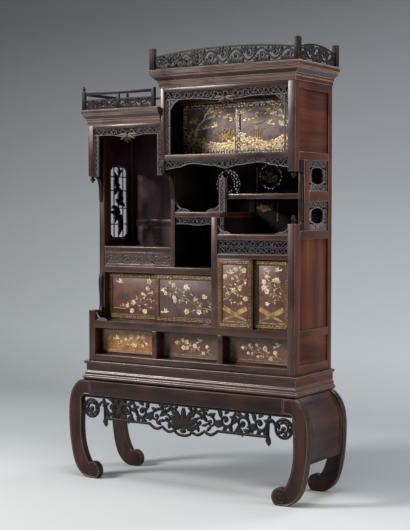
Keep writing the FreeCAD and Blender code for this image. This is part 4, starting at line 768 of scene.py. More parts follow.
# %% [markdown]
# Round each open compartment runs a narrow pierced frame: an apron that dips in the middle, two upright
# strips and a cornerpiece where they meet. The frieze over the tall doors is the same work in a flat band.

# %% Carve the frames of the open compartments
def dip(a0, a1, depth, share=0.22):
    """Depth that an apron hangs lower in the middle."""
    middle, half = (a0 + a1) / 2, (a1 - a0) * share
    return lambda a: depth * max(0.0, math.cos(min(1.0, abs(a - middle) / half) * math.pi / 2))


def apron_band(name, low, high, hang, pitch, stem, material):
    lower = dip(low.x, high.x, hang)
    return panel_band(name, low.x, high.x, lambda a: low.z + hang - lower(a), level(high.z), "front", high.y,
                      high.y - low.y, pitch, stem, material, 2.0, open_scroll)


def strip_band(name, low, high, pitch, stem, material):
    stems, marks = open_scroll(low.z, high.z, level(low.x + 2 * MM), level(high.x - 2 * MM), pitch * MM,
                               stem * MM, chance)
    stems += [rim(low.z, high.z, level(low.x + 2 * MM), 2 * MM, 4),
              rim(low.z, high.z, level(high.x - 2 * MM), 2 * MM, 4)]
    return raised(name, stems, marks, "strip", high.y, high.y - low.y, material)


def corner_band(name, low, high, side, material):
    """Cornerpiece under an apron: a curl, a bud and leaves inside a hollow edge."""
    reach = high.x - low.x
    corner = low.x if side > 0 else high.x
    edge = []
    for step in range(13):
        angle = math.radians(90 * step / 12)
        out = 1 - 0.72 * math.sin(2 * angle) ** 0.9 * 0.55
        edge.append((corner + side * reach * out * math.cos(angle),
                     high.z - reach * out * math.sin(angle), 2.2 * MM))
    heart = (corner + side * 0.28 * reach, high.z - 0.28 * reach)
    stems = [edge, curl(*heart, 0.2 * reach, 90, side, 2 * MM)]
    marks = [mark("bud", *heart, 0.14 * reach, 0.14 * reach, 0)]
    for turn, far in ((8, 0.62), (82, 0.62), (25, 0.42), (65, 0.42)):
        place = (corner + side * far * reach * math.cos(math.radians(turn)),
                 high.z - far * reach * math.sin(math.radians(turn)))
        marks.append(mark("leaf", *place, 0.3 * reach, 0.12 * reach, -side * turn))
    return raised(name, stems, marks, "front", high.y, high.y - low.y, material)


SPREAD_LEAVES = ((0, 50, 15), (180, 50, 15), (-28, 42, 14), (-152, 42, 14), (-60, 32, 12),
                 (-120, 32, 12), (-90, 36, 12))


def drop(name, low, high, material):
    """Spray of leaves in the middle of a head, a little proud of it and hanging below."""
    middle, foot = (low.x + high.x) / 2, low.z + 14 * MM
    leaves = [mark("leaf", *toward(middle, foot, turn, 0.6 * long * MM), long * MM, wide * MM, turn)
              for turn, long, wide in SPREAD_LEAVES]
    return raised(name, [], leaves, "front", high.y, high.y - low.y + 3 * MM, material)


def frame_carving(node, hang, material):
    pieces = []
    for index, (low, high) in enumerate(boxes_of(node)):
        name = f"{node}_{index}"
        wide = high - low
        if wide.z > 2.5 * wide.x:
            pieces.append(strip_band(name, low, high, 24, 1.6, material))
        elif wide.x > 2.5 * wide.z:
            pieces.append(apron_band(name, low, high, hang, 28, 1.8, material))
            pieces.append(drop(name + "_drop", low, high, brown_carving))
        else:
            pieces.append(corner_band(name, low, high, 1 if low.x < 0.1 else -1, material))
    return carved(node, pieces)


frame_carving("left_box_fret", 12 * MM, grey_carving)
frame_carving("upper_box_fret", 12 * MM, grey_carving)
low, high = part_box("door_frieze")
middle = (low.z + high.z) / 2
frieze = [panel_band(f"door_frieze_{foot:.2f}", low.x, high.x, level(foot), level(top), "front", high.y,
                     high.y - low.y, 30, 1.7, grey_carving, 1.8, open_scroll)
          for foot, top in ((low.z, middle + 2 * MM), (middle - 2 * MM, high.z))]
carved("door_frieze", frieze)
print("frames carved")

# %% [markdown]
# The apron under the upper box hangs low at both ends and in the middle and arches up between. The niches
# below it have an apron of their own and low brackets in their corners.

# %% Carve the scalloped apron and the brackets
SCALLOP = ((0.0, 1.0), (0.1, 0.80), (0.22, 0.42), (0.40, 0.66), (0.5, 1.0))


def scallop(low, high):
    """Height of the scalloped edge along the apron."""
    def edge(a):
        share = min((a - low.x), (high.x - a)) / (high.x - low.x)
        for (s0, d0), (s1, d1) in zip(SCALLOP, SCALLOP[1:]):
            if share <= s1:
                ease = (1 - math.cos(math.pi * (share - s0) / (s1 - s0))) / 2
                return high.z - (high.z - low.z) * (d0 + (d1 - d0) * ease)
        return low.z
    return edge


low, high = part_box("scalloped_apron")
apron = panel_band("scallop_band", low.x, high.x, scallop(low, high), level(high.z), "front", high.y,
                   high.y - low.y, 30, 2.0, grey_carving, 2.2, open_scroll)
carved("scalloped_apron", [apron])


def bracket_band(name, low, high, side, material):
    """Low bracket: a stepped edge over a running scroll that shrinks towards its tip."""
    corner = low.x if side > 0 else high.x
    long, tall = high.x - low.x, high.z - low.z

    def edge(a):
        share = abs(a - corner) / long
        return low.z + tall * (0.33 + 0.67 * (1 - share / 0.5) ** 2 if share < 0.5 else
                               0.33 * (1 - ((share - 0.5) / 0.5) ** 2.4))
    stems, marks = open_scroll(low.x + 0.03 * long, high.x - 0.03 * long, level(low.z + 2 * MM),
                               lambda a: max(edge(a) - 2 * MM, low.z + 5 * MM), 24 * MM, 1.9 * MM, chance)
    stems += [rim(low.x, high.x, level(low.z + 2 * MM), 2 * MM, 4),
              rim(low.x, high.x, lambda a: max(edge(a) - 2 * MM, low.z + 2 * MM), 2.2 * MM)]
    return raised(name, stems, marks, "front", high.y, high.y - low.y, material)


niches = []
for index, (low, high) in enumerate(boxes_of("niche_frets")):
    name = f"niche_{index}"
    if high.x - low.x > 0.2:
        niches.append(apron_band(name, low, high, 6 * MM, 25, 1.7, grey_carving))
    else:
        side = 1 if index in (1, 3, 5) else -1  # the left one of each pair, or the right one
        niches.append(bracket_band(name, low, high, side, grey_carving))
carved("niche_frets", niches)
print(len(niches), "pieces in the niches")

# %% [markdown]
# The right side has two pierced panels with a bowed opening in the middle. A border of scrolls runs round
# each opening, and a thin bead edges it.

# %% Carve the side panels
MARGIN, BOW = 40 * MM, 10 * MM


def bordered_panel(name, low, high, material):
    """Border of scrolls on the right side, round an opening with bowed sides."""
    y0, y1, z0, z1 = low.y, high.y, low.z, high.z
    a0, a1, b0, b1 = y0 + MARGIN, y1 - MARGIN, z0 + MARGIN, z1 - MARGIN
    base, thick, room, stem = low.x, high.x - low.x, 2 * MM, 2.4 * MM
    stems, marks = [], []
    for foot, top in ((z0, b0 - BOW / 2), (b1 + BOW / 2, z1)):
        more = open_scroll(y0 + 3 * MM, y1 - 3 * MM, level(foot + room), level(top - room), 27 * MM, stem,
                           chance)
        stems += more[0]
        marks += more[1]
    pieces = [raised(name, stems, marks, "right", base, thick, material)]
    stems, marks = [], []
    for near, far in ((y0, a0 - BOW / 2), (a1 + BOW / 2, y1)):
        more = upended(*open_scroll(b0, b1, level(near + room), level(far - room), 26 * MM, stem, chance))
        stems += more[0]
        marks += more[1]
    bead = []
    for start, end, out in (((a0, b0), (a1, b0), (0, -BOW)), ((a1, b0), (a1, b1), (BOW, 0)),
                            ((a1, b1), (a0, b1), (0, BOW)), ((a0, b1), (a0, b0), (-BOW, 0))):
        for step in range(8):
            share = step / 8
            lift = math.sin(math.pi * share)
            bead.append((start[0] + (end[0] - start[0]) * share + out[0] * lift,
                         start[1] + (end[1] - start[1]) * share + out[1] * lift, stem))
    bead.append(bead[0])
    corners = [(y0 + stem, z0 + stem), (y1 - stem, z0 + stem), (y1 - stem, z1 - stem), (y0 + stem, z1 - stem)]
    outline = [(y, z, stem) for y, z in corners + corners[:1]]
    pieces.append(raised(name + "_edge", stems + [bead, outline], marks, "right", base, thick, material))
    return pieces


side_panels = []
for index, (low, high) in enumerate(boxes_of("right_side_openwork")):
    side_panels += bordered_panel(f"side_panel_{index}", low, high, grey_carving)
carved("right_side_openwork", side_panels)
print(len(side_panels), "side carvings")

# %% [markdown]
# The stand's apron is the boldest carving: thick scrolls between two end roundels, and a lotus in the
# middle whose petals fan up from the lowest lobe. Its stems are three times as thick as those above, so
# they get more sides to stay round.

# %% Carve the apron of the stand
# In mm: x from the left end of the case, z from the floor
ROUNDEL = (39, 358, 51)
BAND_START, LOBE_START, LOBE, LOBE_DROP, LOTUS_HALF = 121, 402, 75, 17, 48
HALF_WIDTH = 600
SCROLLS = 3


def half_apron(side):
    """Stems and marks of one half, in metres about the middle of the stand."""
    def at(x, z):
        return side * (x - HALF_WIDTH) * MM, z * MM

    def line(points, thick):
        return [(*at(x, z), thick * MM) for x, z in points]

    def shoot(*values):
        return [(*at(x, z), thick * MM) for x, z, thick in curl(*values)]

    def leaf(place, long, wide, turn):
        return mark("leaf", *at(*place), long * MM, wide * MM, turn if side > 0 else 180 - turn)

    x, z, radius = ROUNDEL
    stems = [line([toward(x, z, 20 * step, radius - 7) for step in range(19)], 7.5),
             shoot(x, z, radius - 19, 60, 1, 7.5, 1.0),
             line([(-10, 424), (-10, 392), (-6, 372)], 6.0),
             line([(84, 372), (98, 390), (112, 396), (121, 380), (123, 350), (124, 312)], 8.0),
             line([(124, 312), (LOBE_START, 312)], 7.0),
             line([(-15, 419), (HALF_WIDTH, 419)], 7.0)]
    marks = [leaf(toward(x, z, turn, radius - 20), 30, 17, turn + 60) for turn in (20, 75, 140, 200, 265, 325)]
    lobes = [(LOBE_START + LOBE * (first + share), foot - LOBE_DROP * math.sin(math.pi * share) - fall * share)
             for first, foot, fall in ((0, 311, 7), (1, 304, 9)) for share in [step / 8 for step in range(9)]]
    lobes += [(HALF_WIDTH - LOTUS_HALF * math.cos(turn), 294 - 23 * math.sin(turn))
              for turn in [math.radians(15 * step) for step in range(7)]]
    stems.append(line(lobes, 7.5))
    marks += [mark("leaf", *at(124, 294), 40 * MM, 26 * MM, -90), mark("bud", *at(x, z), 22 * MM, 22 * MM, 0)]
    step = (LOBE_START - BAND_START) / SCROLLS
    for index in range(SCROLLS):
        way = 1 if index % 2 == 0 else -1
        cx, cz = BAND_START + step * (index + 0.5), 366 + way * 2
        first = 200 if way > 0 else 160
        stems.append(shoot(cx, cz, 36, first, way, 9.0, 1.05))
        stems.append(line([(cx - step * 0.6, cz + way * 42), (cx - step * 0.45, cz + way * 18),
                           toward(cx, cz, first, 36)], 8.0))
        stems.append(line([toward(cx, cz, first + way * 200, 36), (cx + step * 0.42, cz + way * 44),
                           (cx + step * 0.5, cz + way * 50)], 6.5))
        marks.append(mark("bud", *at(cx, cz), 24 * MM, 24 * MM, 0))
        for turn, far, long in ((-35, 44, 36), (25, 45, 34), (80, 44, 30), (140, 44, 32), (215, 45, 34),
                                (260, 43, 30), (305, 45, 34)):
            turn += 20 * way
            marks.append(leaf(toward(cx, cz, turn, far), 1.15 * long, 21, turn + way * 35))
    for cx, cz, radius, way in ((440, 352, 26, 1), (505, 345, 24, -1), (470, 396, 17, -1), (536, 398, 15, 1)):
        stems.append(shoot(cx, cz, radius, 120, way, 7.0, 1.05))
        marks.append(mark("bud", *at(cx, cz), 17 * MM, 17 * MM, 0))
        marks += [leaf(toward(cx, cz, turn, radius + 9), 30, 17, turn + way * 30)
                  for turn in (20, 110, 200, 290)]
    return stems, marks


lotus = []
for turn, far, long in ((90, 72, 96), (66, 70, 92), (114, 70, 92), (43, 66, 84), (137, 66, 84), (22, 60, 74),
                        (158, 60, 74), (78, 40, 50), (102, 40, 50), (54, 40, 48), (126, 40, 48)):
    place = toward(0, 290 * MM, turn, far * MM)
    lotus.append(mark("petal", *place, long * MM, 30 * MM, turn))
lotus.append(mark("bud", 0, 294 * MM, 40 * MM, 26 * MM, 0))
low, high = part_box("stand_openwork_apron")
apron_pieces = []
for side in (-1, 1):
    stems, marks = half_apron(side)
    apron_pieces.append(raised(f"apron_half_{side + 1}", stems, marks, "front", high.y, high.y - low.y,
                               black_carving, 4))
apron_pieces.append(raised("apron_lotus", [], lotus, "front", high.y, high.y - low.y, black_carving))
carved("stand_openwork_apron", apron_pieces, 60)
print("stand apron carved")

# %% [markdown]
# Turned pieces come off a lathe: a profile is spun once round its axis. The hanging buds, the finials and
# the slim colonette at the right front corner are all made so. The square column between the open niches
# shares their node and is bevelled as a board.

# %% Turn the buds and the colonette
BUD_PROFILE = ((0.0, 0.0), (0.30, 0.02), (0.46, 0.10), (0.40, 0.18), (0.70, 0.30), (0.96, 0.45), (0.98, 0.56),
               (0.76, 0.70), (0.44, 0.78), (0.66, 0.84), (0.70, 0.90), (0.60, 1.0), (0.0, 1.0))
COLONETTE_PROFILE = ((0.0, 0.0), (0.95, 0.0), (1.0, 0.02), (0.95, 0.05), (0.75, 0.07), (0.92, 0.10),
                     (0.78, 0.14), (0.90, 0.25), (0.94, 0.36), (0.78, 0.45), (0.95, 0.47), (1.0, 0.5),
                     (0.95, 0.53), (0.78, 0.55), (0.94, 0.64), (0.90, 0.75), (0.78, 0.86),
                     (0.92, 0.90), (0.75, 0.93), (0.95, 0.95), (1.0, 0.98), (0.95, 1.0), (0.0, 1.0))
COLUMN_HEAD = 1522 * MM  # the square column is free at its head, below the apron
COLONETTE, FINIAL = 2, 5  # places in the node's list of solids, after the square posts


def turned(name, low, high, profile, upward, material):
    """Spins a profile, given as shares of the radius and height, about the middle of a box."""
    middle = (low + high) / 2
    radius, tall = (high.x - low.x) / 2, high.z - low.z
    points = []
    for out, up in profile:
        height = high.z - up * tall if upward else low.z + up * tall
        points.append((middle.x + out * radius, middle.y, height))
    mesh = bpy.data.meshes.new(name)
    mesh.from_pydata(points, [(index, index + 1) for index in range(len(points) - 1)], [])
    piece = in_scene(name, mesh)
    select_only(piece)
    bpy.ops.object.mode_set(mode="EDIT")
    bpy.ops.mesh.select_all(action="SELECT")
    bpy.ops.mesh.spin(steps=20, angle=2 * math.pi, center=middle, axis=(0, 0, 1))
    bpy.ops.mesh.select_all(action="SELECT")
    bpy.ops.mesh.remove_doubles(threshold=0.02 * MM)
    bpy.ops.mesh.normals_make_consistent(inside=False)
    bpy.ops.object.mode_set(mode="OBJECT")
    piece.data.materials.append(material)
    return piece


posts = []
for index, triangles in enumerate(solids_of("turned_posts")):
    low, high = box_of(triangles)
    name = f"turned_{index}"
    if index < COLONETTE:
        board = board_from(name, triangles)
        if high.z > COLUMN_HEAD:
            pick(board, lambda place: place.z > COLUMN_HEAD)
            bpy.ops.transform.translate(value=(0, 0, COLUMN_HEAD - high.z))
            bpy.ops.object.mode_set(mode="OBJECT")
        board.data.materials.append(black_wood["upright"])
        board.data.materials.append(black_wood["edge"])
        round_edges(board, 2.5, 3, finish=1)
        posts.append(board)
    elif index == COLONETTE:
        posts.append(turned(name, low, high, COLONETTE_PROFILE, False, black_carving))
    else:
        posts.append(turned(name, low, high, BUD_PROFILE, index == FINIAL, black_carving))
settle(join_as("turned_posts_dressed", posts), "turned_posts", 50)


def upright_scroll(a0, a1, b0, b1, pitch, thick):
    """Scroll that climbs between two upright edges, with a bead on each."""
    stems, marks = open_scroll(b0, b1, level(a0 + 2.5 * MM), level(a1 - 2.5 * MM), pitch, thick, chance)
    stems += [rim(b0, b1, level(a0 + 1.8 * MM), 1.8 * MM, 2), rim(b0, b1, level(a1 - 1.8 * MM), 1.8 * MM, 2)]
    return upended(stems, marks)


low, high = box_of(solids_of("turned_posts")[0])
head = curl((low.x + high.x) / 2, COLUMN_HEAD - 2 * MM, 13 * MM, -90, 1, 3.4 * MM, 1.3)
column = [raised("column_front", *upright_scroll(low.x, high.x, low.z, COLUMN_HEAD, 22 * MM, 1.9 * MM), "front",
                 low.y + 1 * MM, 3 * MM, grey_carving),
          raised("column_side", *upright_scroll(low.y, high.y, low.z, COLUMN_HEAD, 22 * MM, 1.8 * MM), "right",
                 high.x - 1 * MM, 3 * MM, grey_carving),
          raised("column_head", [head], [], "front", high.y - 1 * MM, high.y - low.y - 2 * MM, grey_carving)]
settle(join_as("column_carving", column), "turned_posts", 50, stands_for=False)
PILASTER = (-128 * MM, -98 * MM, 1256 * MM, 1332 * MM)  # front and rear edge, foot and head
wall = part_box("right_niche_shelf")[0].x
pilaster = raised("pilaster", *upright_scroll(*PILASTER, 22 * MM, 2.6 * MM), "right", wall - 1 * MM, 5 * MM,
                  grey_carving)
settle(pilaster, "middle_partition", 50, stands_for=False)
print(len(posts), "posts and buds")

# %% [markdown]
# The window in the left side is closed by a light lattice: a bead round the opening, thin upright and
# level bars, and a leafy vine that climbs over them. Light from outside shows its outline.

# %% Carve the window lattice and the round lattices
def cut_corner_line(a0, a1, b0, b1, cut, thick):
    """Line round an upright opening whose corners are cut off."""
    corners = [(a0 + cut, b0), (a1 - cut, b0), (a1, b0 + cut), (a1, b1 - cut), (a1 - cut, b1), (a0 + cut, b1),
               (a0, b1 - cut), (a0, b0 + cut)]
    return [(a, b, thick) for a, b in corners + corners[:1]]


low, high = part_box("left_window_lattice")
edge = 4.5 * MM
bars = [cut_corner_line(low.y + edge, high.y - edge, low.z + edge, high.z - edge, 20 * MM, edge)]
for share in (0.25, 0.5, 0.75):
    y = low.y + (high.y - low.y) * share
    bars.append([(y, low.z + edge, 3 * MM), (y, high.z - edge, 3 * MM)])
for share in (0.20, 0.42, 0.66, 0.85):
    z = low.z + (high.z - low.z) * share
    bars.append([(low.y + edge, z, 3 * MM), (high.y - edge, z, 3 * MM)])
window = [raised("window_bars", bars, [], "left", high.x, high.x - low.x, black_carving)]
vine, leaves = [], []
for step in range(41):
    share = step / 40
    y = (low.y + high.y) / 2 + 28 * MM * math.sin(share * 4.4 * math.pi)
    z = low.z + 20 * MM + (high.z - low.z - 40 * MM) * share
    vine.append((y, z, 5 * MM))
    if step % 3 and 3 < step < 38:
        turn = chance.uniform(20, 160) if step % 3 == 1 else chance.uniform(-160, -20)
        leaves.append(mark("leaf", *toward(y, z, turn, 17 * MM), 40 * MM, 23 * MM, turn))
window.append(raised("window_vine", [vine], leaves, "left", high.x, high.x - low.x, black_carving))
carved("left_window_lattice", window)

lattices = []
for index, (low, high) in enumerate(boxes_of("back_round_lattices")):
    middle, radius = (low + high) / 2, (high.x - low.x) / 2
    stems, marks = [], []
    for share, thick in ((0.945, 4.5), (0.76, 3.4), (0.56, 3.4), (0.36, 3.4)):
        stems.append([(*toward(middle.x, middle.z, 10 * step, share * radius), thick * MM)
                      for step in range(37)])
    for spoke in range(18):
        for lean in (30, -30):
            stems.append([(*toward(middle.x, middle.z, 20 * spoke + lean * share,
                                   radius * (0.3 + 0.64 * share)), 2.8 * MM)
                          for share in (0, 0.25, 0.5, 0.75, 1)])
    marks.append(mark("bud", middle.x, middle.z, 0.72 * radius, 0.72 * radius, 0))
    for _ in range(34):
        turn, out = chance.uniform(0, 360), chance.uniform(0.4, 0.9)
        marks.append(mark("leaf", *toward(middle.x, middle.z, turn, out * radius), 15 * MM, 9 * MM,
                          turn + chance.uniform(-90, 90)))
    lattices.append(raised(f"lattice_{index}", stems, marks, "front", high.y, high.y - low.y, black_carving))
carved("back_round_lattices", lattices)


def disc(name, middle, radius, front, thick, material):
    """Round board that faces the front, with its middle field sunk inside a rim."""
    bpy.ops.object.select_all(action="DESELECT")
    bpy.ops.mesh.primitive_circle_add(vertices=40, radius=radius, fill_type="NGON",
                                      location=(middle.x, front, middle.z), rotation=(math.pi / 2, 0, 0))
    piece = bpy.context.object
    bpy.ops.object.transform_apply(location=True, rotation=True, scale=True)
    piece.name = name
    bpy.ops.object.mode_set(mode="EDIT")
    bpy.ops.mesh.select_all(action="SELECT")
    bpy.ops.mesh.extrude_region_move(TRANSFORM_OT_translate={"value": (0, thick, 0)})
    bpy.ops.mesh.select_all(action="SELECT")
    bpy.ops.mesh.normals_make_consistent(inside=False)
    pick_faces(piece, lambda face: abs(face.normal.y) > 0.9 and face.center.y < front + thick / 2)
    bpy.ops.mesh.inset(thickness=4 * MM, depth=0)
    bpy.ops.mesh.inset(thickness=1 * MM, depth=-1 * MM)
    bpy.ops.object.mode_set(mode="OBJECT")
    piece.data.materials.append(material)
    return piece


low, high = boxes_of("back_round_lattices")[1]
middle, radius = (low + high) / 2, (high.x - low.x) / 2
closing = disc("round_lattice_disc", middle, 0.72 * radius, low.y - 2 * MM, 6 * MM, black_wood["level"])
settle(closing, "back_round_lattices", 40, stands_for=False)


def gold_tuft(a, b, reach, count):
    """Tuft of leaves and small heads, as faded gold painting."""
    stems, marks = [], []
    for index in range(count):
        turn = 20 + 140 * (index + chance.uniform(0.2, 0.8)) / count
        tip = toward(a, b, turn, reach * chance.uniform(0.5, 1.0))
        stems.append([(a, b, 1.6 * MM), (*tip, 0.9 * MM)])
        marks.append(mark("petal" if index % 2 else "leaf", *tip, 0.34 * reach, 0.18 * reach, turn))
    return stems, marks


def gold_painting(name, node, face, tufts, lines):
    stems = [[(a, b0, 3.2 * MM), (a, b1, 3.2 * MM)] for a, b0, b1 in lines]
    marks = []
    for tuft in tufts:
        twigs, heads = gold_tuft(*tuft)
        stems += twigs
        marks += heads
    settle(raised(name, stems, marks, "front", face, 1.2 * MM, old_gold), node, 50, stands_for=False)


gold_painting("disc_painting", "back_round_lattices", low.y - 1 * MM,
              [(middle.x + 0.05 * radius, middle.z - 0.45 * radius, 0.8 * radius, 11),
               (middle.x + 0.35 * radius, middle.z - 0.40 * radius, 0.4 * radius, 7)], [])
low, high = box_of(solids_of("back_panels")[12])
gold_painting("niche_painting", "back_panels", low.y,
              [(low.x + 0.12 * (high.x - low.x), low.z + 105 * MM, 46 * MM, 9),
               (low.x + 0.22 * (high.x - low.x), low.z + 112 * MM, 34 * MM, 7),
               (low.x + 0.70 * (high.x - low.x), low.z + 40 * MM, 60 * MM, 9),
               (low.x + 0.84 * (high.x - low.x), low.z + 50 * MM, 50 * MM, 8)],
              [(low.x + 0.02 * (high.x - low.x), low.z + 205 * MM, low.z + 330 * MM),
               (low.x + 0.33 * (high.x - low.x), low.z + 60 * MM, low.z + 150 * MM)])
print("lattices carved")

# %% [markdown]
# The doors and drawers carry birds and blossom in bone, horn and gold lacquer, set a hair proud of the
# wood so that a finger can feel them. The sprays here are grown by rule from a seed: a bough crosses the
# panel, twigs leave it by turns, and each twig ends in a blossom.

# %% Grow a spray of blossom
def blossom(a, b, size, turn):
    """Five petals round a stamen."""
    marks = []
    for petal in range(5):
        angle = turn + 72 * petal
        marks.append(mark("petal", *toward(a, b, angle, 0.27 * size), 0.52 * size, 0.44 * size, angle))
    return marks, [mark("bud", a, b, 0.22 * size, 0.22 * size, 0)]


def bird(a, b, size, turn, way):
    """Small flying bird seen from the side: body, head, two wings and a forked tail."""
    def part(kind, along, up, long, wide, lean):
        angle = math.radians(turn)
        x = a + size * (way * along * math.cos(angle) - up * math.sin(angle))
        z = b + size * (way * along * math.sin(angle) + up * math.cos(angle))
        return mark(kind, x, z, long * size, wide * size, turn + (lean if way > 0 else 180 - lean))
    return [part("petal", 0, 0, 0.52, 0.20, 0), part("bud", 0.27, 0.05, 0.15, 0.13, 0),
            part("leaf", 0.37, 0.05, 0.14, 0.05, -8), part("petal", -0.06, 0.20, 0.46, 0.17, 112),
            part("petal", 0.10, 0.17, 0.40, 0.14, 68), part("leaf", -0.38, 0.03, 0.36, 0.10, 172),
            part("leaf", -0.36, -0.05, 0.32, 0.09, 192)]


def spray(a0, a1, b0, b1, way, size, chance, twigs):
    """Bough, twigs, blossoms, leaves and birds in a field; way is 1 when it grows to the right."""
    wide, tall = a1 - a0, b1 - b0
    start = (a0 if way > 0 else a1, b0 + tall * chance.uniform(0.05, 0.25))
    bend = (a0 + wide * 0.5, b0 + tall * chance.uniform(0.15, 0.45))
    end = (a1 - 0.06 * wide if way > 0 else a0 + 0.06 * wide, b0 + tall * chance.uniform(0.72, 0.92))
    bough, stems, bone_marks, horn_marks, heads = [], [], [], [], []
    for step in range(19):
        share = step / 18
        a = (1 - share) ** 2 * start[0] + 2 * share * (1 - share) * bend[0] + share ** 2 * end[0]
        b = (1 - share) ** 2 * start[1] + 2 * share * (1 - share) * bend[1] + share ** 2 * end[1]
        b += 0.035 * tall * math.sin(share * 17 + way)
        bough.append((a, b, size * (0.085 - 0.05 * share)))
    stems.append(bough)
    for index in range(twigs):
        step = 2 + round(index * 16 / twigs)
        a, b, thick = bough[min(step, 18)]
        ahead, behind = bough[min(step + 1, 18)], bough[step - 1]
        heading = math.degrees(math.atan2(ahead[1] - behind[1], ahead[0] - behind[0]))
        side = 1 if index % 2 == 0 else -1
        turn = heading + side * way * chance.uniform(42, 84)
        reach = chance.uniform(0.28, 0.60) * min(tall, 1.3 * wide)
        twig = []
        for part in range(7):
            share = part / 6
            place = toward(a, b, turn - side * way * 26 * share, reach * share)
            if not (a0 + 0.4 * size < place[0] < a1 - 0.4 * size and
                    b0 + 0.4 * size < place[1] < b1 - 0.4 * size):
                break
            twig.append((*place, size * (0.05 - 0.02 * share)))
        if len(twig) < 3:
            continue
        stems.append(twig)
        tip = twig[-1]
        if all(math.dist(tip[:2], head) > 0.8 * size for head in heads):
            heads.append(tip[:2])
            petals, stamen = blossom(tip[0], tip[1], size * chance.uniform(0.75, 1.5), chance.uniform(0, 72))
            bone_marks += petals
            horn_marks += stamen
        for share, lean in ((0.25, 52), (0.45, -48), (0.65, 50), (0.85, -44)):
            place = twig[min(int(share * 6), len(twig) - 1)]
            angle = turn + lean
            leaf_at = toward(place[0], place[1], angle, 0.34 * size)
            kind = bone_marks if chance.random() < 0.55 else horn_marks
            kind.append(mark("leaf", *leaf_at, 0.66 * size, 0.25 * size, angle))
    free = []
    for _ in range(60):
        spot = (chance.uniform(a0 + size, a1 - size), chance.uniform(b0 + 0.7 * size, b1 - 0.7 * size))
        free.append((min(math.dist(spot, point[:2]) for stem in stems for point in stem), spot))
    first = max(free)[1]
    second = max((gap, spot) for gap, spot in free if math.dist(spot, first) > 3 * size or spot == first)[1]
    for spot, share in ((first, 2.4), (second, 2.0))[:1 if second == first else 2]:
        bone_marks += bird(*spot, share * size, chance.uniform(-15, 25), chance.choice((1, -1)))
    return stems, bone_marks, horn_marks


def border(a0, a1, b0, b1, pitch, long, wide):
    """Two rows of small leaves round a rectangle: the leaves of its level sides and of its upright sides."""
    level_sides, upright_sides = [], []
    for start, end in (((a0, b0), (a1, b0)), ((a1, b0), (a1, b1)), ((a1, b1), (a0, b1)), ((a0, b1), (a0, b0))):
        count = max(2, round(math.dist(start, end) / pitch))
        heading = math.degrees(math.atan2(end[1] - start[1], end[0] - start[0]))
        marks = level_sides if start[1] == end[1] else upright_sides
        for index in range(count):
            for row in (-1, 1):
                share = (index + chance.uniform(0.25, 0.75)) / count
                a, b = start[0] + (end[0] - start[0]) * share, start[1] + (end[1] - start[1]) * share
                place = toward(a, b, heading + 90, row * chance.uniform(0.3, 0.5) * long)
                marks.append(mark("leaf", *place, long * chance.uniform(0.6, 1.15),
                                  wide * chance.uniform(0.7, 1.2), heading + row * chance.uniform(-35, 70)))
    return level_sides, upright_sides


print("sprays ready")

# %% [markdown]
# Each panel gets its own spray, and each door frame a border of small leaves in worn gold. The pieces ride
# on their door, so they slide with it.

# %% Inlay the doors
PROUD = 1.2 * MM


def inlay(name, body_node, sets, face, proud=PROUD):
    """Lays stems and marks of several materials on a front face, as one piece."""
    pieces = []
    for index, (stems, marks, material) in enumerate(sets):
        if stems or marks:
            pieces.append(raised(f"{name}_{index}", stems, marks, "front", face, proud, material))
    return settle(join_as(name, pieces), body_node, 50, stands_for=False)


def framed(door, long, wide, level_finish, upright_finish):
    """Border of leaves on a door's frame."""
    low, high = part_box(door + "_panel")
    gap = 12 * MM
    level_sides, upright_sides = border(low.x - gap, high.x + gap, low.z - gap, high.z + gap, 1.05 * long * MM,
                                        long * MM, wide * MM)
    inlay(door + "_border", door + "_frame",
          [([], level_sides, level_finish), ([], upright_sides, upright_finish)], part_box(door + "_frame")[0].y)


def door_inlay(door, way, size, seed, twigs, foot=0.0):
    """Spray on a door's panel; foot keeps the lowest part free."""
    low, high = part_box(door + "_panel")
    rule = random.Random(seed)
    room = 6 * MM
    stems, bone_marks, horn_marks = spray(low.x + room, high.x - room, low.z + room + foot, high.z - room, way,
                                          size * MM, rule, twigs)
    inlay(door + "_spray", door + "_panel", [(stems, horn_marks, horn), ([], bone_marks, bone)], low.y)


def streams(door):
    """Two gold streams that cross at the foot of a panel and taper to their ends."""
    low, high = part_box(door + "_panel")
    stems, dots = [], []
    for rising in (1, -1):
        stream = []
        for step in range(17):
            share = step / 16
            up = share if rising > 0 else 1 - share
            stream.append((low.x + 7 * MM + (high.x - low.x - 14 * MM) * share,
                           low.z + 14 * MM + 58 * MM * up ** 1.2,
                           (3 + 8.5 * math.sin(0.5 * math.pi * min(1.0, 1.2 * up)) ** 1.5) * MM))
        stems.append(stream)
    for step in range(24):
        dots.append(mark("bud", low.x + (high.x - low.x) * (step + 0.5) / 24, low.z + 5 * MM, 6 * MM,
                         5 * MM, 0))
    inlay(door + "_streams", door + "_panel", [(stems, [], dull_gold), ([], dots, pale_gold)], low.y)


for door, way, size, seed, twigs in (("row_two_left_door", 1, 20, 4, 14),
                                     ("row_two_right_door", -1, 21, 11, 12)):
    door_inlay(door, way, size, seed, twigs)
    framed(door, 9, 4.5, pale_gold, old_gold)
for door, way, seed in (("tall_left_door", 1, 21), ("tall_right_door", -1, 33)):
    door_inlay(door, way, 19, seed, 12, 78 * MM)
    streams(door)
    framed(door, 9, 4.5, pale_gold, old_gold)
print("doors inlaid")

# %% [markdown]
# The upper doors show a small garden in raised gold lacquer on a plum ground: rocks along the foot, a bent
# pine with flat pads of needles, clouds and a flying bird, with a pavilion on one door and reeds on the
# other. The lacquer is built up in layers, so it stands almost 3 mm from the panel. A rule scatters the tufts
# and stones, so each door comes out different.

# %% Raise the gold gardens
RELIEF = 2.6 * MM


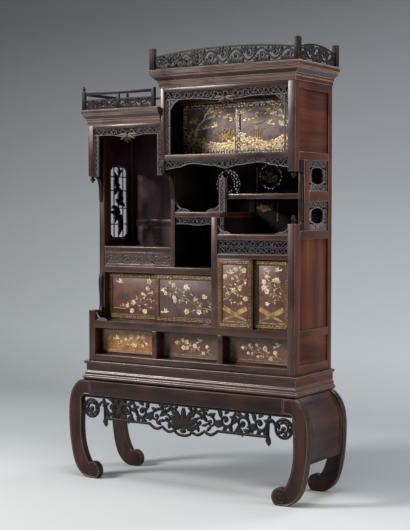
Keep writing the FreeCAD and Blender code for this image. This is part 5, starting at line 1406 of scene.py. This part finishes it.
def garden(door, way, seed, pavilion):
    low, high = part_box(door + "_panel")
    rule = random.Random(seed)
    wide, tall = high.x - low.x, high.z - low.z

    def at(share, up):
        return low.x + wide * (share if way > 0 else 1 - share), low.z + tall * up

    rocks, pads, cream, stems, clouds, dark = [], [], [], [], [], []
    kinds = (rocks, pads, cream, dark)
    for index in range(300):
        share = rule.random()
        height = 0.12 + 0.95 * abs(share - 0.56) ** 1.5
        place = at(share, 0.02 + height * rule.random() ** 1.4)
        kind = kinds[rule.choice((0, 1, 1, 2, 2, 3))]
        kind.append(mark(rule.choice(("leaf", "leaf", "petal")), *place, rule.uniform(0.035, 0.085) * wide,
                         rule.uniform(0.02, 0.045) * wide, rule.uniform(-50, 50)))
    trunk = [at(0.08 + 0.22 * share + 0.03 * math.sin(9 * share), 0.12 + 0.76 * share) for share in
             [step / 12 for step in range(13)]]
    clouds.append([(*place, (11.5 - 8 * index / 12) * MM) for index, place in enumerate(trunk)])
    for index, reach, up in ((4, -0.06, 0.03), (6, 0.16, 0.03), (8, -0.10, 0.06), (10, 0.16, 0.04),
                             (12, 0.08, 0.03)):
        start = trunk[index]
        end = (start[0] + way * reach * wide, start[1] + up * tall)
        clouds.append([(*start, 3.4 * MM), ((start[0] + end[0]) / 2, start[1] + 0.01 * tall, 2.6 * MM),
                       (*end, 1.6 * MM)])
        for part in range(20):
            kind = kinds[part % 4]
            turn = rule.uniform(0, 180)
            kind.append(mark("leaf", *toward(*end, turn, rule.uniform(0.01, 0.07) * wide),
                             rule.uniform(0.03, 0.06) * wide, 0.018 * wide, turn))
    for share, up, size in ((0.50, 0.90, 0.06), (0.66, 0.80, 0.07), (0.84, 0.72, 0.08), (0.93, 0.90, 0.06)):
        place = at(share, up)
        stems.append([(a, b, 1.6 * MM) for a, b, _ in curl(*place, size * tall, 180, way, 1.0, 1.2)])
        for part in range(6):
            place = at(share + rule.uniform(-0.09, 0.09), up + rule.uniform(-0.05, 0.05))
            kinds[part % 4].append(mark("leaf", *place, 0.06 * wide, 0.018 * wide, rule.uniform(-25, 25)))
    if pavilion:
        for up, long in ((0.46, 0.24), (0.60, 0.16)):
            dark.append(mark("leaf", *at(0.72, up), long * wide, 0.07 * tall, 0))
        for share in (0.66, 0.70, 0.74, 0.78):
            stems.append([(*at(share, 0.24), 1.6 * MM), (*at(share, 0.45), 1.6 * MM)])
        stems.append([(*at(0.62, 0.25), 2 * MM), (*at(0.82, 0.25), 2 * MM)])
    else:
        for share, size in ((0.62, 0.8), (0.70, 1.0), (0.78, 0.7)):
            base = at(share, 0.2)
            for turn in (50, 70, 90, 110, 130):
                tip = toward(*base, turn, size * 0.30 * tall)
                stems.append([(*base, 1.8 * MM), (*tip, 1.0 * MM)])
                dark.append(mark("bud", *tip, 0.035 * wide, 0.05 * tall, 0))
    pads += bird(*at(0.50, 0.58), 0.26 * tall, 12 * way, way)
    inlay(door + "_garden", door + "_panel",
          [(stems, rocks, gold), ([], pads, bright_gold), (clouds, cream, cream_gold), ([], dark, old_gold)],
          low.y, RELIEF)
    framed(door, 15, 7, cream_gold, cream_gold)


garden("upper_left_door", 1, 5, False)
garden("upper_right_door", -1, 8, True)
print("gardens raised")

# %% [markdown]
# Each drawer front has a sunk field with a line of gold round it, and its own spray. The first ground is
# ochre lacquer, the others are brown. The small drawer above is carved instead, with a scroll in low relief.

# %% Inlay and carve the drawer fronts
FIELD_SUNK, FIELD_EDGE = 3 * MM, 12 * MM


def drawer_inlay(drawer, way, seed, twigs, line_finish):
    low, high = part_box(drawer + "_drawer_front")
    rule = random.Random(seed)
    a0, a1, b0, b1 = low.x + FIELD_EDGE, high.x - FIELD_EDGE, low.z + FIELD_EDGE, high.z - FIELD_EDGE
    far = 0.30 * (a1 - a0)
    start, end = (a0 + 0.6 * far, a1 - 0.5 * far)
    stems, bone_marks, horn_marks = spray(start, end, b0 + 14 * MM, b1 - 14 * MM, way, 19 * MM, rule, twigs)
    line = cut_corner_line(a0 + 12 * MM, a1 - 12 * MM, b0 + 11 * MM, b1 - 11 * MM, 10 * MM, 1.3 * MM)
    level_sides, upright_sides = border(a0 + 5 * MM, a1 - 5 * MM, b0 + 5 * MM, b1 - 5 * MM, 9 * MM, 7 * MM,
                                        3.5 * MM)
    marks = level_sides + upright_sides
    face = low.y + FIELD_SUNK
    inlay(drawer + "_drawer_inlay", drawer + "_drawer_front",
          [(stems, horn_marks, horn), ([], bone_marks, bone), ([line], marks, line_finish)], face)


drawer_inlay("left", 1, 3, 10, pale_gold)
drawer_inlay("middle", -1, 14, 8, old_gold)
drawer_inlay("right", -1, 9, 8, old_gold)

low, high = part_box("small_drawer_front")
field = (low.x + 14 * MM, high.x - 14 * MM, level(low.z + 13 * MM), level(high.z - 13 * MM))
stems, marks = running_scroll(*field, 48 * MM, 3.4 * MM, chance)
more = running_scroll(*field, 31 * MM, 2.0 * MM, chance, -1)
inlay("small_drawer_relief", "small_drawer_front", [(stems + more[0], marks + more[1], brown_carving)],
      low.y + FIELD_SUNK, 2.8 * MM)
print("drawers finished")

# %% [markdown]
# The scroll feet end in a volute, a spiral bead that follows the turn of the leg. The wing boards inside the
# open rows have a moulded front edge: a round bead follows their stepped outline.

# %% Beads on the feet and the wing boards
# The scroll foot's middle and reach, in mm from the middle of the stand and from the floor
FOOT_MIDDLE, FOOT_HEIGHT, FOOT_REACH = 548, 40.3, 37

volutes = []
low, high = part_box("stand_front_legs")
for side in (-1, 1):
    spiral = curl(side * FOOT_MIDDLE * MM, FOOT_HEIGHT * MM, FOOT_REACH * MM, 100 if side < 0 else 80, -side,
                  3.2 * MM, 1.5, 34)
    volutes.append(raised(f"volute_{side}", [spiral], [], "front", low.y + 3.2 * MM, 3.1 * MM,
                          stand_wood["upright"], 2))
settle(join_as("volutes", volutes), "stand_front_legs", 50, stands_for=False)

beads = []
for index, triangles in enumerate(solids_of("wing_boards")):
    low, high = box_of(triangles)
    front = {}
    for triangle in triangles:
        for x, y, z in triangle:
            front[round(z, 4)] = min(front.get(round(z, 4), 9.0), y)
    outline = [(y + 3.2 * MM, z, 3.4 * MM) for z, y in sorted(front.items())]
    beads.append(raised(f"wing_bead_{index}", [outline], [], "right", low.x - 1 * MM, high.x - low.x + 2 * MM,
                        black_carving, 2))
settle(join_as("wing_beads", beads), "wing_boards", 50, stands_for=False)
print(len(volutes), "volutes and", len(beads), "beads")

# %% [markdown]
# The photograph shows the cabinet on pale paper that sweeps up into a grey wall. One curved sheet does
# this: its colour darkens with height, a painted falloff of the light, and a darker band on the floor behind the
# cabinet is painted shade. It also takes the cabinet's own soft shadow. Seen from behind the sheet is clear, so
# that the back of the cabinet can be looked at too.

# %% Paper sweep and lights
# tones along the sheet: the dip from 0.34 to 0.50 is painted shade behind the cabinet, the darkening towards 1.0
# is painted falloff of the light
PAPER = [(0.0, "#c8cccd"), (1.0, "#4c4f52"), (0.26, "#bbbfc0"), (0.34, "#a0a6a8"), (0.50, "#979da0"),
         (0.60, "#a0a7aa"), (0.75, "#91979c"), (0.92, "#5a5d60")]


PAPER_START, PAPER_END = -3.0, 7.5  # where the first and the last tone lie along the sheet


def paper_material():
    """Matt paper whose tone follows the sheet, with painted falloff and painted shade; it is clear from behind.
    """
    material, tree, shader, place = new_material("grey_paper")
    parts = add(tree, "ShaderNodeSeparateXYZ", {"Vector": place})
    run = add(tree, "ShaderNodeMath", {0: parts.outputs["Y"], 1: parts.outputs["Z"]}, operation="ADD")
    share = add(tree, "ShaderNodeMapRange", {"Value": run.outputs[0], "From Min": PAPER_START,
                                             "From Max": PAPER_END})
    wire(tree, shader, {"Base Color": tones(tree, share.outputs[0], PAPER), "Roughness": 0.9,
                        "Specular IOR Level": 0.1})
    behind = add(tree, "ShaderNodeNewGeometry").outputs["Backfacing"]
    clear = add(tree, "ShaderNodeBsdfTransparent")
    both = add(tree, "ShaderNodeMixShader", {0: behind, 1: shader.outputs[0], 2: clear.outputs[0]})
    output = next(node for node in tree.nodes if node.type == "OUTPUT_MATERIAL")
    tree.links.new(both.outputs[0], output.inputs["Surface"])
    return material


WALL_Y, BEND, WALL_TOP, FLOOR_FRONT, PAPER_HALF = 3.6, 1.6, 8.0, -9.0, 11.0
bpy.ops.object.select_all(action="DESELECT")
bpy.ops.mesh.primitive_plane_add(size=2, location=(0, 0, 0))
paper = bpy.context.object
paper.name = "paper_sweep"
mesh = paper.data
for vertex in mesh.vertices:
    vertex.co = (PAPER_HALF * vertex.co.x, WALL_Y - BEND if vertex.co.y > 0 else FLOOR_FRONT, 0)
pick(paper, lambda place: place.y > 0)
bpy.ops.mesh.spin(steps=15, angle=-math.pi / 2, center=(0, WALL_Y - BEND, BEND), axis=(1, 0, 0))
bpy.ops.mesh.extrude_region_move(TRANSFORM_OT_translate={"value": (0, 0, WALL_TOP - BEND)})
bpy.ops.mesh.select_all(action="SELECT")
bpy.ops.mesh.remove_doubles(threshold=MM)
bpy.ops.mesh.normals_make_consistent(inside=True)
bpy.ops.object.mode_set(mode="OBJECT")
print("the paper rises to", round(max(vertex.co.z for vertex in mesh.vertices), 2), "m")
mesh.materials.append(paper_material())
select_only(paper)
bpy.ops.object.shade_smooth()
paper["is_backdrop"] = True


def soft_light(name, place, aim, size, power, colour):
    data = bpy.data.lights.new(name, "AREA")
    data.shape = "RECTANGLE"
    data.size, data.size_y = size
    data.energy = power
    data.color = linear(colour)[:3]
    light = in_scene(name, data)
    light.location = place
    light.rotation_euler = (Vector(aim) - Vector(place)).to_track_quat("-Z", "Y").to_euler()


soft_light("window_light", (-4.3, -4.7, 4.3), (0, 0, 1.1), (1.7, 1.7), 640, "#fff8f2")
soft_light("side_fill", (6.2, 0.55, 2.2), (0, 0, 1.1), (2.2, 2.2), 260, "#fff4ea")
soft_light("back_fill", (1.3, 3.0, 4.5), (0.1, 0, 0.9), (2.0, 2.0), 110, "#f4f6ff")
soft_light("paper_light", (0.6, -1.2, 5.8), (0.8, -0.4, 0), (3.4, 2.6), 200, "#f2f7ff")

world = bpy.data.worlds.new("studio")
bpy.context.scene.world = world
world.use_nodes = True
world.node_tree.nodes["Background"].inputs["Color"].default_value = linear("#aeb2b6")
world.node_tree.nodes["Background"].inputs["Strength"].default_value = 0.05
bpy.context.scene.view_settings.view_transform = "Standard"
print("lights set")

# %% Finish
for shape in SHAPES.values():
    bpy.data.objects.remove(shape)
low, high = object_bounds()
